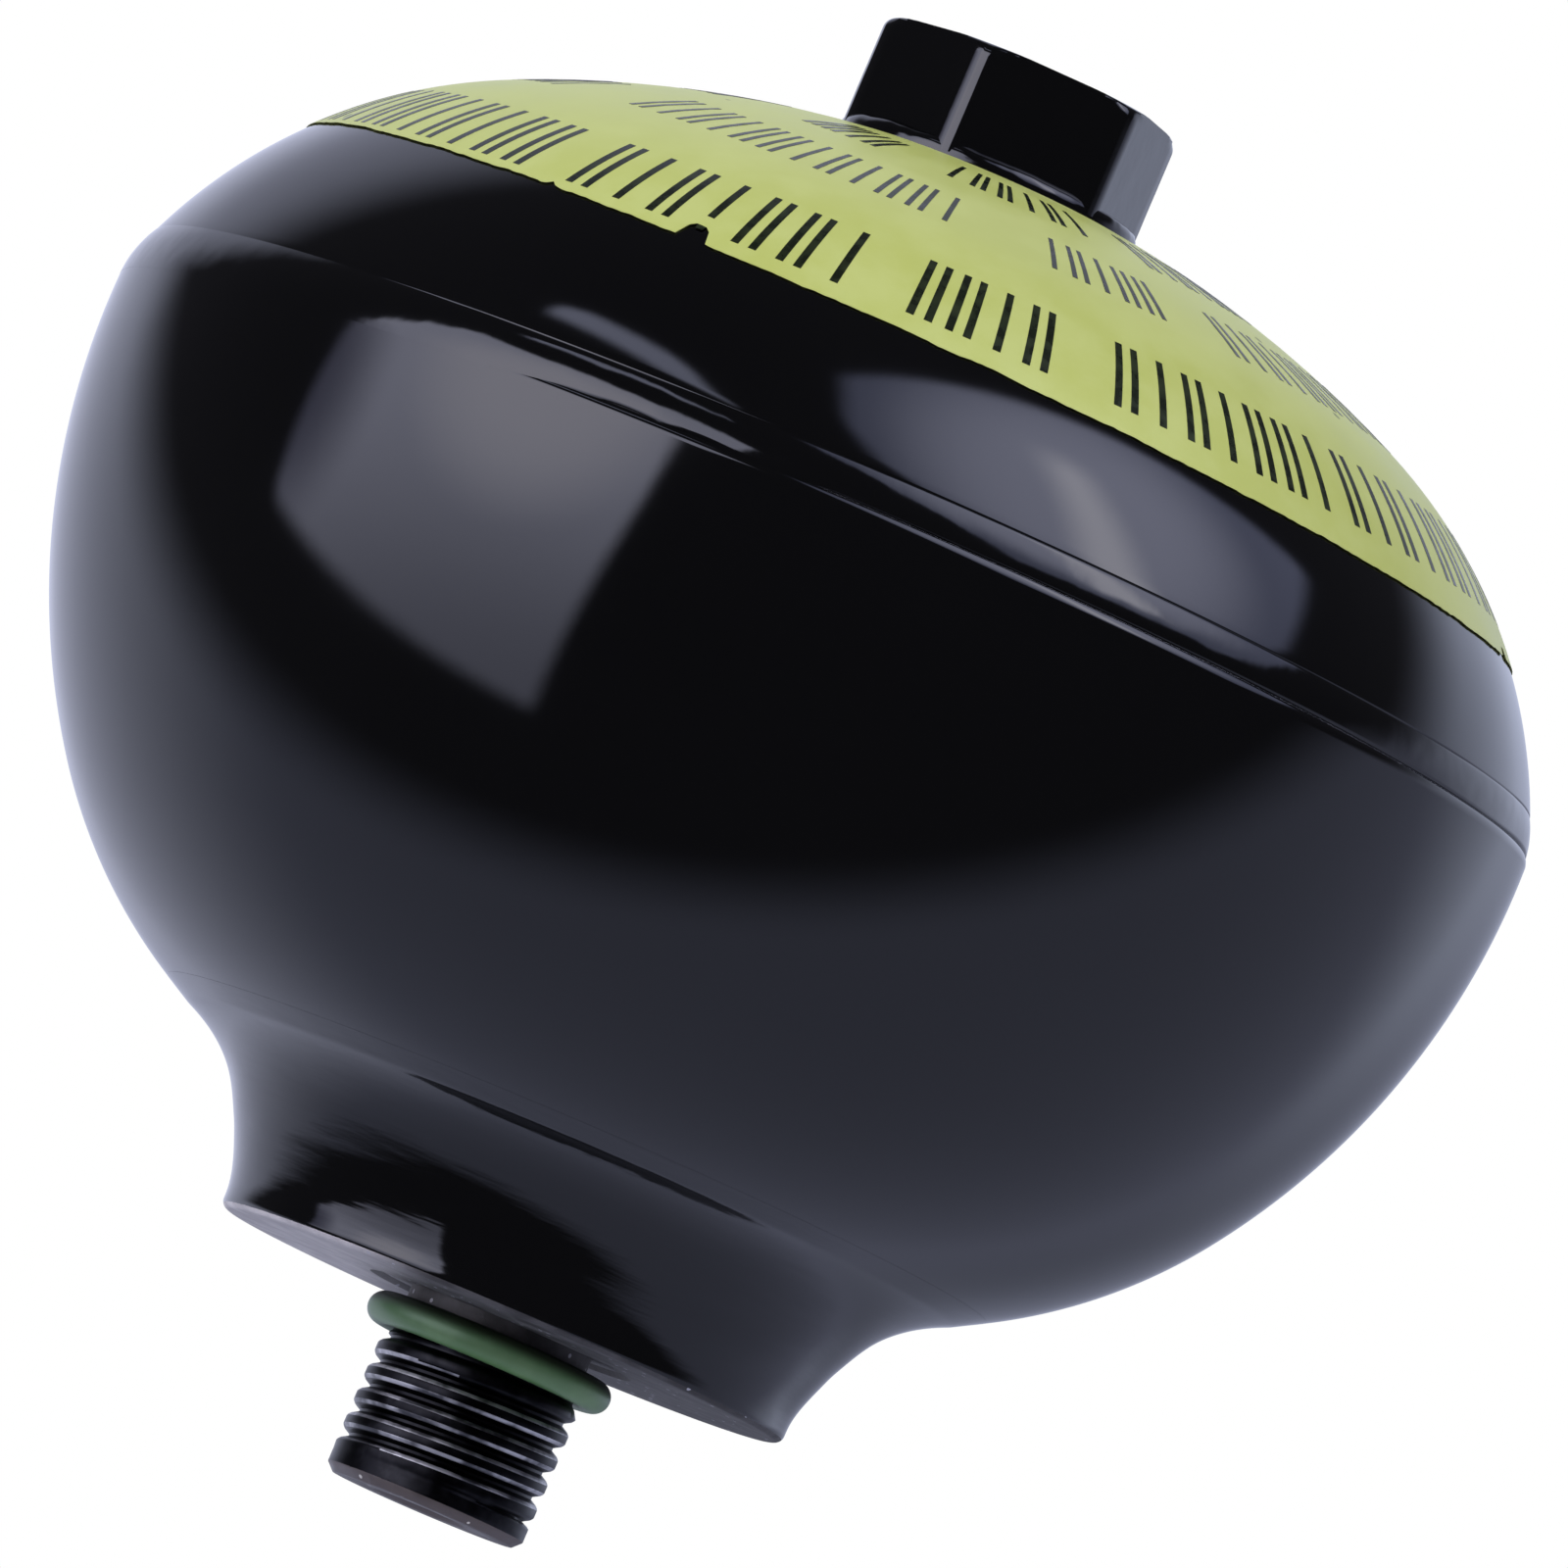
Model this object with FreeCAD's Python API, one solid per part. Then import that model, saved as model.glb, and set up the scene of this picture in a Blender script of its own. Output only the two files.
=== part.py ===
"""Brake pressure accumulator: a welded steel sphere with a clamped rubber diaphragm inside.

Millimetres. The origin is the centre of the machined seat face under the neck. +Z runs up
the axis, from the threaded stud below to the hexagonal charging boss on top.
"""
import FreeCAD, Part
import math
import os

# Lower shell: a deep pressed bowl, part sphere and part knuckle
ball_radius = 43.2
bowl_knuckle_radius = 31.0
bowl_knuckle_angle = 35.6
lower_wall = 3.8

# Upper shell: a shallower pressed dome, knuckle and crown
dome_step = 0.35
dome_rim_angle = 20.2
dome_knuckle_radius = 29.3
crown_radius = 65.0
upper_wall = 4.2

# Girth weld between the two shells, in a V groove, over the upper shell's spigot
seam_rise = 3.1
weld_half_height = 1.1
weld_crown = 0.12
rim_taper_drop = 0.25
rim_taper_height = 1.0
rim_wall = 2.6
spigot_length = 1.6
spigot_clearance = 0.1

# Clamp ring, which holds the diaphragm's bead in a pocket of the lower shell's rim
clamp_ledge = 0.8
clamp_flange = 2.6
clamp_skirt_wall = 0.9
clamp_edge_radius = 0.4
clamp_fit = 0.05
pocket_width = 2.4
pocket_depth = 4.8

# Rubber diaphragm, at rest on the bowl, and the closing button moulded in its middle
diaphragm_thickness = 2.2
rubber_clearance = 0.3
button_radius = 7.0
button_plate = 1.6
button_neck_radius = 3.0
button_head_radius = 5.2
button_head_height = 1.5
button_edge = 0.5
diaphragm_ramp = 1.6

# Port fitting: neck and stud turned from one piece, welded into the bowl
neck_radius = 17.2
neck_height = 6.9
neck_edge_radius = 0.5
neck_land = 0.1
fitting_spigot_radius = 9.0
port_bore_radius = 2.5
port_mouth_chamfer = 0.5
thread_radius = 6.0
thread_length = 8.2
thread_end_chamfer = 0.5
undercut_radius = 5.5
undercut_length = 2.6
fitting_weld_seat = 4.0
fitting_weld_face = 4.5

# Sealing ring in the undercut, at the thread's end of it, and the relief in the seat face that clears it
ring_section = 1.9
relief_clearance = 0.6
relief_depth = 0.3

# Hexagonal charging boss, its weld, its screw plug and its sealing ball
hex_across_flats = 16.0
hex_corner_radius = 8.95
hex_turn = -19.3
hex_height = 6.3
hex_top_round = 0.8
boss_weld_lip = 0.15
boss_weld_height = 0.9
boss_weld_depth = 0.8
plug_radius = 4.0
plug_length = 3.4
plug_sink = 0.3
plug_socket_across_flats = 4.0
plug_socket_depth = 2.0
charge_ball_radius = 1.6
charge_hole_radius = 0.9
charge_seat_radius = 1.7

# Label film around the dome, its lower edge a little out of level
label_thickness = 0.12
label_glue = 0.02
label_inner_gap = 0.4
label_edge_drop = 13.5
label_edge_tilt = 1.3

# A length longer than the whole object, for cutting tools
beyond = 200.0

AXIS_BASE = FreeCAD.Vector(0, 0, 0)
AXIS_UP = FreeCAD.Vector(0, 0, 1)
FULL_TURN = 360
QUARTER_TURN = 90
HEXAGON_SIDES = 6


# Helpers for outlines in the section plane, where a point is (radius, height)

def vector(point):
    return FreeCAD.Vector(point[0], 0, point[1])


def on_circle(centre, radius, degrees):
    """Point of a circle at an angle above the horizontal."""
    turn = math.radians(degrees)
    return (centre[0] + radius * math.cos(turn), centre[1] + radius * math.sin(turn))


def circle_reach(centre, radius, height):
    """Outer radius that a circle in the section plane has at a height."""
    return centre[0] + math.sqrt(radius ** 2 - (height - centre[1]) ** 2)


def circle_rise(centre, radius, run):
    """Upper height that a circle in the section plane has at a distance from the axis."""
    return centre[1] + math.sqrt(radius ** 2 - (run - centre[0]) ** 2)


def line(start, end):
    return Part.LineSegment(vector(start), vector(end)).toShape()


def arc(centre, radius, start_degrees, end_degrees):
    middle = (start_degrees + end_degrees) / 2
    points = [on_circle(centre, radius, angle) for angle in (start_degrees, middle, end_degrees)]
    return Part.Arc(*[vector(point) for point in points]).toShape()


def angle_of(centre, point):
    """Angle above the horizontal at which a point stands on a circle about the centre."""
    return math.degrees(math.atan2(point[1] - centre[1], point[0] - centre[0]))


def turned(edges):
    """Solid turned about the axis from a closed outline."""
    return Part.Face(Part.Wire(edges)).revolve(AXIS_BASE, AXIS_UP, FULL_TURN)


def turned_polygon(points):
    """Solid turned about the axis from a closed outline of straight sides."""
    corners = list(points) + [points[0]]
    return turned([line(start, end) for start, end in zip(corners, corners[1:])])


def disc(radius, bottom, top):
    return Part.makeCylinder(radius, top - bottom, vector((0, bottom)))


def hexagon_prism(across_flats, bottom, top, corner_degrees):
    """Upright hexagonal prism with one corner at an angle about the axis."""
    reach = across_flats / 2 / math.cos(math.pi / HEXAGON_SIDES)
    corners = []
    for side in range(HEXAGON_SIDES):
        across, along = on_circle((0, 0), reach, corner_degrees + side * FULL_TURN / HEXAGON_SIDES)
        corners.append(FreeCAD.Vector(across, along, bottom))
    outline = Part.makePolygon(corners + [corners[0]])
    return Part.Face(outline).extrude(FreeCAD.Vector(0, 0, top - bottom))


# Places that several pieces share

bowl_knuckle_offset = on_circle((0, 0), ball_radius - bowl_knuckle_radius, bowl_knuckle_angle)
bowl_knuckle_centre = (bowl_knuckle_offset[0], neck_height + bowl_knuckle_radius)
ball_centre = (0, bowl_knuckle_centre[1] + bowl_knuckle_offset[1])
seam_height = ball_centre[1] + seam_rise
bowl_floor = neck_height + lower_wall

dome_rim = (circle_reach(ball_centre, ball_radius, seam_height) - dome_step, seam_height)
dome_knuckle_centre = on_circle(dome_rim, -dome_knuckle_radius, dome_rim_angle)
crown_run = crown_radius - dome_knuckle_radius
crown_centre = (0, dome_knuckle_centre[1] - math.sqrt(crown_run ** 2 - dome_knuckle_centre[0] ** 2))
crown_angle = angle_of(crown_centre, dome_knuckle_centre)

rim_bore_radius = ball_radius - rim_wall
bead_bore_radius = rim_bore_radius - clamp_ledge
flange_top = seam_height - spigot_length
flange_bottom = flange_top - clamp_flange
pocket_bottom = flange_bottom - pocket_depth
skirt_outer_radius = bead_bore_radius - pocket_width
skirt_inner_radius = skirt_outer_radius - clamp_skirt_wall

apex_height = crown_centre[1] + crown_radius
hex_top = apex_height + hex_height
bore_bottom = hex_top - plug_sink - plug_length


def bowl(inset):
    """Solid bowl, its outside set in from the lower shell's by a wall, filled to the seam."""
    knuckle_radius = bowl_knuckle_radius - inset
    sphere_radius = ball_radius - inset
    bottom = bowl_knuckle_centre[1] - knuckle_radius
    top_angle = math.degrees(math.asin(seam_rise / sphere_radius))
    rim = on_circle(ball_centre, sphere_radius, top_angle)
    return turned([
        line((0, bottom), (bowl_knuckle_centre[0], bottom)),
        arc(bowl_knuckle_centre, knuckle_radius, -90, -bowl_knuckle_angle),
        arc(ball_centre, sphere_radius, -bowl_knuckle_angle, top_angle),
        line(rim, (0, rim[1])),
        line((0, rim[1]), (0, bottom)),
    ])


def dome(offset):
    """Solid dome above the seam, its outside moved out from the upper shell's by an offset."""
    knuckle_radius = dome_knuckle_radius + offset
    outer_radius = crown_radius + offset
    seam_angle = math.degrees(math.asin((seam_height - dome_knuckle_centre[1]) / knuckle_radius))
    rim = on_circle(dome_knuckle_centre, knuckle_radius, seam_angle)
    apex = (0, crown_centre[1] + outer_radius)
    return turned([
        line((0, seam_height), rim),
        arc(dome_knuckle_centre, knuckle_radius, seam_angle, crown_angle),
        arc(crown_centre, outer_radius, crown_angle, 90),
        line(apex, (0, seam_height)),
    ])


def weld_corners():
    """Corners of the V groove: on the lower shell, at its root and on the upper shell."""
    bottom = seam_height - weld_half_height
    top = seam_height + weld_half_height
    low_edge = (circle_reach(ball_centre, ball_radius, bottom) - rim_taper_drop, bottom)
    high_edge = (circle_reach(dome_knuckle_centre, dome_knuckle_radius, top), top)
    return low_edge, (rim_bore_radius, seam_height), high_edge


def girth_weld():
    """Weld metal in the V between the shells, a little crowned on the outside."""
    low_edge, root, high_edge = weld_corners()
    face_middle = ((low_edge[0] + high_edge[0]) / 2 + weld_crown, seam_height)
    face = Part.Arc(vector(low_edge), vector(face_middle), vector(high_edge)).toShape()
    return turned([face, line(high_edge, root), line(root, low_edge)])


def lower_bevel():
    """Waste ring: takes the lower shell's rim in to the weld, and its half of the V."""
    low_edge, root = weld_corners()[:2]
    start_height = low_edge[1] - rim_taper_height
    start = (circle_reach(ball_centre, ball_radius, start_height), start_height)
    return turned_polygon([start, low_edge, root, (beyond, seam_height), (beyond, start_height)])


def upper_bevel():
    """Waste ring: the upper shell's half of the V."""
    root, high_edge = weld_corners()[1:]
    return turned_polygon([high_edge, root, (beyond, seam_height), (beyond, high_edge[1])])


def lower_shell():
    """Pressed bowl: bored for the fitting, its rim turned inside for the clamp ring and bead."""
    shell = bowl(0).cut(bowl(lower_wall))
    shell = shell.cut(disc(rim_bore_radius, flange_bottom, seam_height + spigot_length))
    shell = shell.cut(disc(bead_bore_radius, pocket_bottom, flange_bottom))
    shell = shell.cut(disc(fitting_spigot_radius, 0, bowl_floor + lower_wall))
    return shell.cut(lower_bevel())


def upper_shell():
    """Pressed dome: a spigot backs the weld and holds the clamp ring down."""
    cavity = dome(-upper_wall)
    spigot_radius = rim_bore_radius - spigot_clearance
    opening = circle_reach(dome_knuckle_centre, dome_knuckle_radius - upper_wall, seam_height)
    spigot = disc(spigot_radius, flange_top, seam_height)
    shell = dome(0).fuse(spigot).cut(cavity).cut(disc(opening, flange_top, seam_height))
    shell = shell.cut(disc(charge_hole_radius, seam_height, beyond))
    return shell.cut(upper_bevel())


def clamp_ring():
    """Ring of L section: the flange sits on a ledge, the skirt backs the diaphragm's bead."""
    skirt_bottom = pocket_bottom + diaphragm_thickness + rubber_clearance
    ring = turned_polygon([
        (skirt_inner_radius, skirt_bottom),
        (skirt_outer_radius, skirt_bottom),
        (skirt_outer_radius, flange_bottom),
        (rim_bore_radius - clamp_fit, flange_bottom),
        (rim_bore_radius - clamp_fit, flange_top),
        (skirt_inner_radius, flange_top),
    ])
    lips = [edge for edge in ring.Edges if edge.BoundBox.ZLength < clamp_fit
            and abs(edge.BoundBox.XMax - skirt_inner_radius) < clamp_fit]
    return ring.makeFillet(clamp_edge_radius, lips)


def diaphragm():
    """Moulded membrane with a thick bead, lying just off the bowl, raised over the button."""
    outside = lower_wall + rubber_clearance
    inside = outside + diaphragm_thickness
    outer_sphere = ball_radius - outside
    inner_sphere = ball_radius - inside
    bead_bottom = pocket_bottom + rubber_clearance
    bead_top = flange_bottom - rubber_clearance
    bead_inner = skirt_outer_radius + rubber_clearance
    bead_outer = bead_bore_radius - rubber_clearance
    web_top = bead_bottom + diaphragm_thickness - rubber_clearance
    low = bowl_floor + rubber_clearance
    high = low + button_plate + rubber_clearance
    hole = button_neck_radius + rubber_clearance
    ramp_foot = button_radius + diaphragm_ramp
    ramp_head = button_radius + rubber_clearance
    knuckle_outside = bowl_knuckle_radius - outside
    knuckle_inside = bowl_knuckle_radius - inside
    start_angle = -bowl_knuckle_angle
    outer_end = math.degrees(math.asin((bead_bottom - ball_centre[1]) / outer_sphere))
    inner_end = math.degrees(math.asin((web_top - ball_centre[1]) / inner_sphere))
    outer_lip = on_circle(ball_centre, outer_sphere, outer_end)
    inner_lip = on_circle(ball_centre, inner_sphere, inner_end)
    foot = max(ramp_foot, bowl_knuckle_centre[0])
    outer_foot_angle = -math.degrees(math.acos((foot - bowl_knuckle_centre[0]) / knuckle_outside))
    inner_foot_angle = -math.degrees(math.acos((foot - bowl_knuckle_centre[0]) / knuckle_inside))
    outer_foot = on_circle(bowl_knuckle_centre, knuckle_outside, outer_foot_angle)
    inner_foot = on_circle(bowl_knuckle_centre, knuckle_inside, inner_foot_angle)
    slope_shift = foot - ramp_head
    return turned([
        line((hole, high), (ramp_head, high)),
        line((ramp_head, high), outer_foot),
        arc(bowl_knuckle_centre, knuckle_outside, outer_foot_angle, start_angle),
        arc(ball_centre, outer_sphere, start_angle, outer_end),
        line(outer_lip, (bead_outer, bead_bottom)),
        line((bead_outer, bead_bottom), (bead_outer, bead_top)),
        line((bead_outer, bead_top), (bead_inner, bead_top)),
        line((bead_inner, bead_top), (bead_inner, web_top)),
        line((bead_inner, web_top), inner_lip),
        arc(ball_centre, inner_sphere, inner_end, start_angle),
        arc(bowl_knuckle_centre, knuckle_inside, start_angle, inner_foot_angle),
        line(inner_foot, (inner_foot[0] - slope_shift, high + diaphragm_thickness)),
        line((inner_foot[0] - slope_shift, high + diaphragm_thickness), (hole, high + diaphragm_thickness)),
        line((hole, high + diaphragm_thickness), (hole, high)),
    ])


def diaphragm_button():
    """Closing button: a plate over the port, a neck through the rubber and a head above it."""
    plate_bottom = bowl_floor + rubber_clearance
    plate_top = plate_bottom + button_plate
    head_bottom = plate_top + diaphragm_thickness + 2 * rubber_clearance
    head_top = head_bottom + button_head_height
    return turned_polygon([
        (0, plate_bottom),
        (button_radius - button_edge, plate_bottom),
        (button_radius, plate_bottom + button_edge),
        (button_radius, plate_top),
        (button_neck_radius, plate_top),
        (button_neck_radius, head_bottom),
        (button_head_radius, head_bottom),
        (button_head_radius, head_top - button_edge),
        (button_head_radius - button_edge, head_top),
        (0, head_top),
    ])


def neck_fillet():
    """Centre and radius of the hollow arc from the neck's side, tangent to the bowl."""
    arc_height = neck_edge_radius + neck_land
    run = neck_radius - bowl_knuckle_centre[0]
    rise = bowl_knuckle_centre[1] - arc_height
    radius = (run ** 2 + rise ** 2 - bowl_knuckle_radius ** 2) / (2 * (bowl_knuckle_radius - run))
    return (neck_radius + radius, arc_height), radius


def fitting_weld():
    """Weld ring in the bevelled upper edge of the neck, smooth with its fillet."""
    fillet_centre, fillet_radius = neck_fillet()
    end_angle = angle_of(fillet_centre, bowl_knuckle_centre)
    start_angle = end_angle + math.degrees(fitting_weld_face / fillet_radius)
    seat_end_angle = angle_of(bowl_knuckle_centre, fillet_centre)
    seat_start_angle = seat_end_angle - math.degrees(fitting_weld_seat / bowl_knuckle_radius)
    toe = on_circle(fillet_centre, fillet_radius, start_angle)
    root = on_circle(bowl_knuckle_centre, bowl_knuckle_radius, seat_start_angle)
    return turned([
        arc(fillet_centre, fillet_radius, start_angle, end_angle),
        arc(bowl_knuckle_centre, bowl_knuckle_radius, seat_end_angle, seat_start_angle),
        line(root, toe),
    ])


def port_fitting(weld):
    """Neck with its seat face, relief, undercut and stud, bored through for the fluid."""
    relief_radius = undercut_radius + ring_section + relief_clearance
    fillet_centre, fillet_radius = neck_fillet()
    meeting_angle = angle_of(fillet_centre, bowl_knuckle_centre)
    meeting = on_circle(fillet_centre, fillet_radius, meeting_angle)
    blank_corner = (port_bore_radius, meeting[1])
    edge_centre = (neck_radius - neck_edge_radius, neck_edge_radius)
    thread_top = -undercut_length
    thread_bottom = thread_top - thread_length
    tip = thread_bottom - thread_end_chamfer
    blank = turned([
        line((port_bore_radius, tip + port_mouth_chamfer), (port_bore_radius + port_mouth_chamfer, tip)),
        line((port_bore_radius + port_mouth_chamfer, tip), (thread_radius - thread_end_chamfer, tip)),
        line((thread_radius - thread_end_chamfer, tip), (thread_radius, thread_bottom)),
        line((thread_radius, thread_bottom), (thread_radius, thread_top)),
        line((thread_radius, thread_top), (undercut_radius, thread_top)),
        line((undercut_radius, thread_top), (undercut_radius, relief_depth)),
        line((undercut_radius, relief_depth), (relief_radius, relief_depth)),
        line((relief_radius, relief_depth), (relief_radius, 0)),
        line((relief_radius, 0), (edge_centre[0], 0)),
        arc(edge_centre, neck_edge_radius, -90, 0),
        line(on_circle(edge_centre, neck_edge_radius, 0), on_circle(fillet_centre, fillet_radius, 180)),
        arc(fillet_centre, fillet_radius, 180, meeting_angle),
        line(meeting, blank_corner),
        line(blank_corner, (port_bore_radius, tip + port_mouth_chamfer)),
    ])
    port_bore = disc(port_bore_radius, -beyond, beyond)
    spigot = disc(fitting_spigot_radius, relief_depth, bowl_floor).cut(port_bore)
    return blank.cut(bowl(0)).fuse(spigot).removeSplitter().cut(weld)


def o_ring():
    """Sealing ring, stretched on the undercut and lying against the thread's end of it."""
    middle_radius = undercut_radius + ring_section / 2
    middle_height = ring_section / 2 - undercut_length
    return Part.makeTorus(middle_radius, ring_section / 2, vector((0, middle_height)))


def hex_boss():
    """Charging boss: a bar hexagon with turned corners, seated on the dome and bored."""
    round_centre = (hex_corner_radius - hex_top_round, hex_top - hex_top_round)
    bar = hexagon_prism(hex_across_flats, seam_height, hex_top, hex_turn - QUARTER_TURN)
    turning = turned([
        line((0, seam_height), (hex_corner_radius, seam_height)),
        line((hex_corner_radius, seam_height), (hex_corner_radius, round_centre[1])),
        arc(round_centre, hex_top_round, 0, 90),
        line((round_centre[0], hex_top), (0, hex_top)),
        line((0, hex_top), (0, seam_height)),
    ])
    bore = turned_polygon([
        (0, seam_height),
        (charge_hole_radius, seam_height),
        (charge_hole_radius, bore_bottom - charge_seat_radius + charge_hole_radius),
        (charge_seat_radius, bore_bottom),
        (plug_radius, bore_bottom),
        (plug_radius, hex_top),
        (0, hex_top),
    ])
    return bar.common(turning).cut(bore).cut(dome(0))


def boss_weld(boss):
    """Low weld fillet around the foot of the hexagon, just clear of its corners."""
    flat_radius = hex_across_flats / 2
    outer = hex_corner_radius + boss_weld_lip
    foot = circle_rise(crown_centre, crown_radius, flat_radius)
    outer_foot = circle_rise(crown_centre, crown_radius, outer)
    collar = turned_polygon([
        (flat_radius - boss_weld_depth, outer_foot - boss_weld_depth),
        (outer, outer_foot - boss_weld_depth),
        (outer, outer_foot + boss_weld_lip),
        (flat_radius, foot + boss_weld_height),
        (flat_radius - boss_weld_depth, foot + boss_weld_height),
    ])
    return collar.cut(dome(0)).cut(boss)


def charge_ball():
    """Ball that seals the charging hole, on a seat that opens at 90 degrees."""
    cone_tip = bore_bottom - charge_seat_radius
    return Part.makeSphere(charge_ball_radius, vector((0, cone_tip + charge_ball_radius * math.sqrt(2))))


def charge_plug(ball):
    """Screw plug with a hexagon socket, and a dimple that presses the ball on its seat."""
    top = bore_bottom + plug_length
    plug = disc(plug_radius, bore_bottom, top)
    socket = hexagon_prism(plug_socket_across_flats, top - plug_socket_depth, top, 0)
    return plug.cut(socket).cut(ball)


def label_band():
    """Thin film on the dome, from the boss down to a lower edge a little out of level."""
    film = dome(label_glue + label_thickness).cut(dome(label_glue))
    film = film.cut(disc(hex_corner_radius + boss_weld_lip + label_inner_gap, seam_height, beyond))
    waste = Part.makeBox(2 * beyond, 2 * beyond, beyond, FreeCAD.Vector(-beyond, -beyond, -beyond))
    waste.rotate(AXIS_BASE, FreeCAD.Vector(0, 1, 0), label_edge_tilt)
    waste.translate(vector((0, apex_height - label_edge_drop)))
    return film.cut(waste)


def build():
    """Every piece by its node name."""
    neck_bead = fitting_weld()
    boss = hex_boss()
    ball = charge_ball()
    return {
        "lower_shell": lower_shell(),
        "upper_shell": upper_shell(),
        "girth_weld": girth_weld(),
        "port_fitting": port_fitting(neck_bead),
        "fitting_weld": neck_bead,
        "o_ring": o_ring(),
        "hex_boss": boss,
        "boss_weld": boss_weld(boss),
        "charge_ball": ball,
        "charge_plug": charge_plug(ball),
        "clamp_ring": clamp_ring(),
        "diaphragm": diaphragm(),
        "diaphragm_button": diaphragm_button(),
        "label_band": label_band(),
    }


def main():
    os.makedirs("parts", exist_ok=True)
    for name, shape in build().items():
        print(name, len(shape.Solids), shape.isValid(), round(shape.Volume, 1))
        shape.exportStep("parts/" + name + ".step")


main()
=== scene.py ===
"""Brake pressure accumulator: paint, weld beads, thread, label film and studio.

Metres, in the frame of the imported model. The origin is the centre of the seat face and +Z
runs up the axis. Turned pieces are drawn as an outline in the section plane, where a point
is (radius, height), and spun about the axis.
"""
import math

import bmesh
import bpy
from mathutils import Matrix, Vector, noise

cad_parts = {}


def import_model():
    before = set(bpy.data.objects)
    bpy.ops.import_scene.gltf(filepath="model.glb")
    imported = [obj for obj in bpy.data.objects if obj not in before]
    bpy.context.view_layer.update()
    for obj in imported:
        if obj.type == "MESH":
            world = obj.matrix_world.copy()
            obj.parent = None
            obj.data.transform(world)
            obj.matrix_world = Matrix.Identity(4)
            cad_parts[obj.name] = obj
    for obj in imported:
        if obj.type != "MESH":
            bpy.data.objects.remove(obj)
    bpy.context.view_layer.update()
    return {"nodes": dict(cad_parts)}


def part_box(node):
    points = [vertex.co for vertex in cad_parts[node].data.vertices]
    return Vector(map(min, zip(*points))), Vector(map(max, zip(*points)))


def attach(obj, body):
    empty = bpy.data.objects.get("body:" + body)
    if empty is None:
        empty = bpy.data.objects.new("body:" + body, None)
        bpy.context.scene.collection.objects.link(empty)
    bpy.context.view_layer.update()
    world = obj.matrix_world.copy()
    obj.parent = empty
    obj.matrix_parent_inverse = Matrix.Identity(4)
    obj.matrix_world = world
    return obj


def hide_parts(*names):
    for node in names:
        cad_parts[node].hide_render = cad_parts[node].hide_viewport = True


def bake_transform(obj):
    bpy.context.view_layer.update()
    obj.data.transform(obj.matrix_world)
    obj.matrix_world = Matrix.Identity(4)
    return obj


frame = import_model()
MM = 0.001

# Lower shell: a deep bowl, its rim rolled over above the widest place
ball_radius = 43.2 * MM
bowl_knuckle_radius = 31.0 * MM
bowl_knuckle_angle = 35.6
bowl_bottom = 6.9 * MM
lower_wall = 3.8 * MM
shoulder_radius = 0.9 * MM
shoulder_start = 1.35 * MM
shoulder_turn = 42.0

# Upper shell: a shallower dome, knuckle and crown
dome_step = 0.35 * MM
dome_rim_angle = 20.2
dome_knuckle_radius = 29.3 * MM
crown_radius = 65.0 * MM
upper_wall = 4.2 * MM
dome_lip_radius = 0.12 * MM
dome_lip_turn = 80.0

# Girth weld and what lies inside the rim behind it
seam_rise = 3.1 * MM
weld_half_height = 1.1 * MM
weld_crown = 0.1 * MM
weld_toe_sink = 0.12 * MM
weld_toe_width = 0.14 * MM
weld_toe_gap = 0.02 * MM
weld_low_cover = 0.01 * MM
weld_high_cover = 0.03 * MM
weld_fill_cover = 0.004 * MM
weld_fill_lap = 0.1
weld_face_depth = 1.0 * MM
weld_open_azimuth = 40.0
weld_bead_steps = 14
weld_fill_low = (-0.75, -0.35)
weld_fill_high = (-0.6, 0.1)
weld_fill_high_lean = 0.6
weld_ripple = 0.010 * MM
weld_fine_ripple = 0.006 * MM
bowl_paint_end = 0.9 * MM
rim_wall = 2.6 * MM
spigot_length = 1.6 * MM
spigot_clearance = 0.1 * MM
clamp_ledge = 0.8 * MM
clamp_flange = 2.6 * MM
pocket_width = 2.4 * MM
pocket_depth = 4.8 * MM

# Rubber diaphragm over the closing button
diaphragm_thickness = 2.2 * MM
rubber_clearance = 0.3 * MM
button_radius = 7.0 * MM
button_plate = 1.6 * MM
button_neck_radius = 3.0 * MM

# Port fitting: neck, seat face, relief, undercut and threaded stud
neck_radius = 17.2 * MM
neck_edge_radius = 0.5 * MM
neck_land = 0.1 * MM
fitting_spigot_radius = 9.0 * MM
port_bore_radius = 2.5 * MM
port_mouth_chamfer = 0.5 * MM
thread_radius = 6.0 * MM
thread_pitch = 1.5 * MM
thread_depth = 0.55 * MM
thread_root_flat = 0.16 * MM
thread_edge = 0.16 * MM
thread_flank_angle = 30.0
thread_length = 8.2 * MM
thread_end_chamfer = 0.5 * MM
thread_end_band = 1.1 * MM
thread_band_ease = 0.3 * MM
thread_band_step = 0.03 * MM
crest_start = 0.4 * MM
thread_runout = 0.5 * MM
undercut_radius = 5.5 * MM
undercut_length = 2.6 * MM
undercut_slack = 0.1 * MM
fitting_weld_face = 4.5 * MM
fitting_weld_seat = 4.0 * MM
fitting_weld_slope = 60.6
weld_toe_slope = 65.5
fitting_toe_width = 0.4 * MM
fitting_weld_cover = 0.005 * MM
fitting_weld_sink = 0.02 * MM
neck_swell = 0.30 * MM
swell_rise = (0.9 * MM, 4.2 * MM)
swell_fall = (5.0 * MM, 9.3 * MM)
flare_sag = 0.05 * MM
flare_sag_length = 2.2 * MM
flare_sag_ease = (0.3 * MM, 1.5 * MM)
ring_section = 1.9 * MM
ring_unevenness = 0.02 * MM
relief_radius = undercut_radius + ring_section + 0.6 * MM
relief_depth = 0.3 * MM

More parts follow.
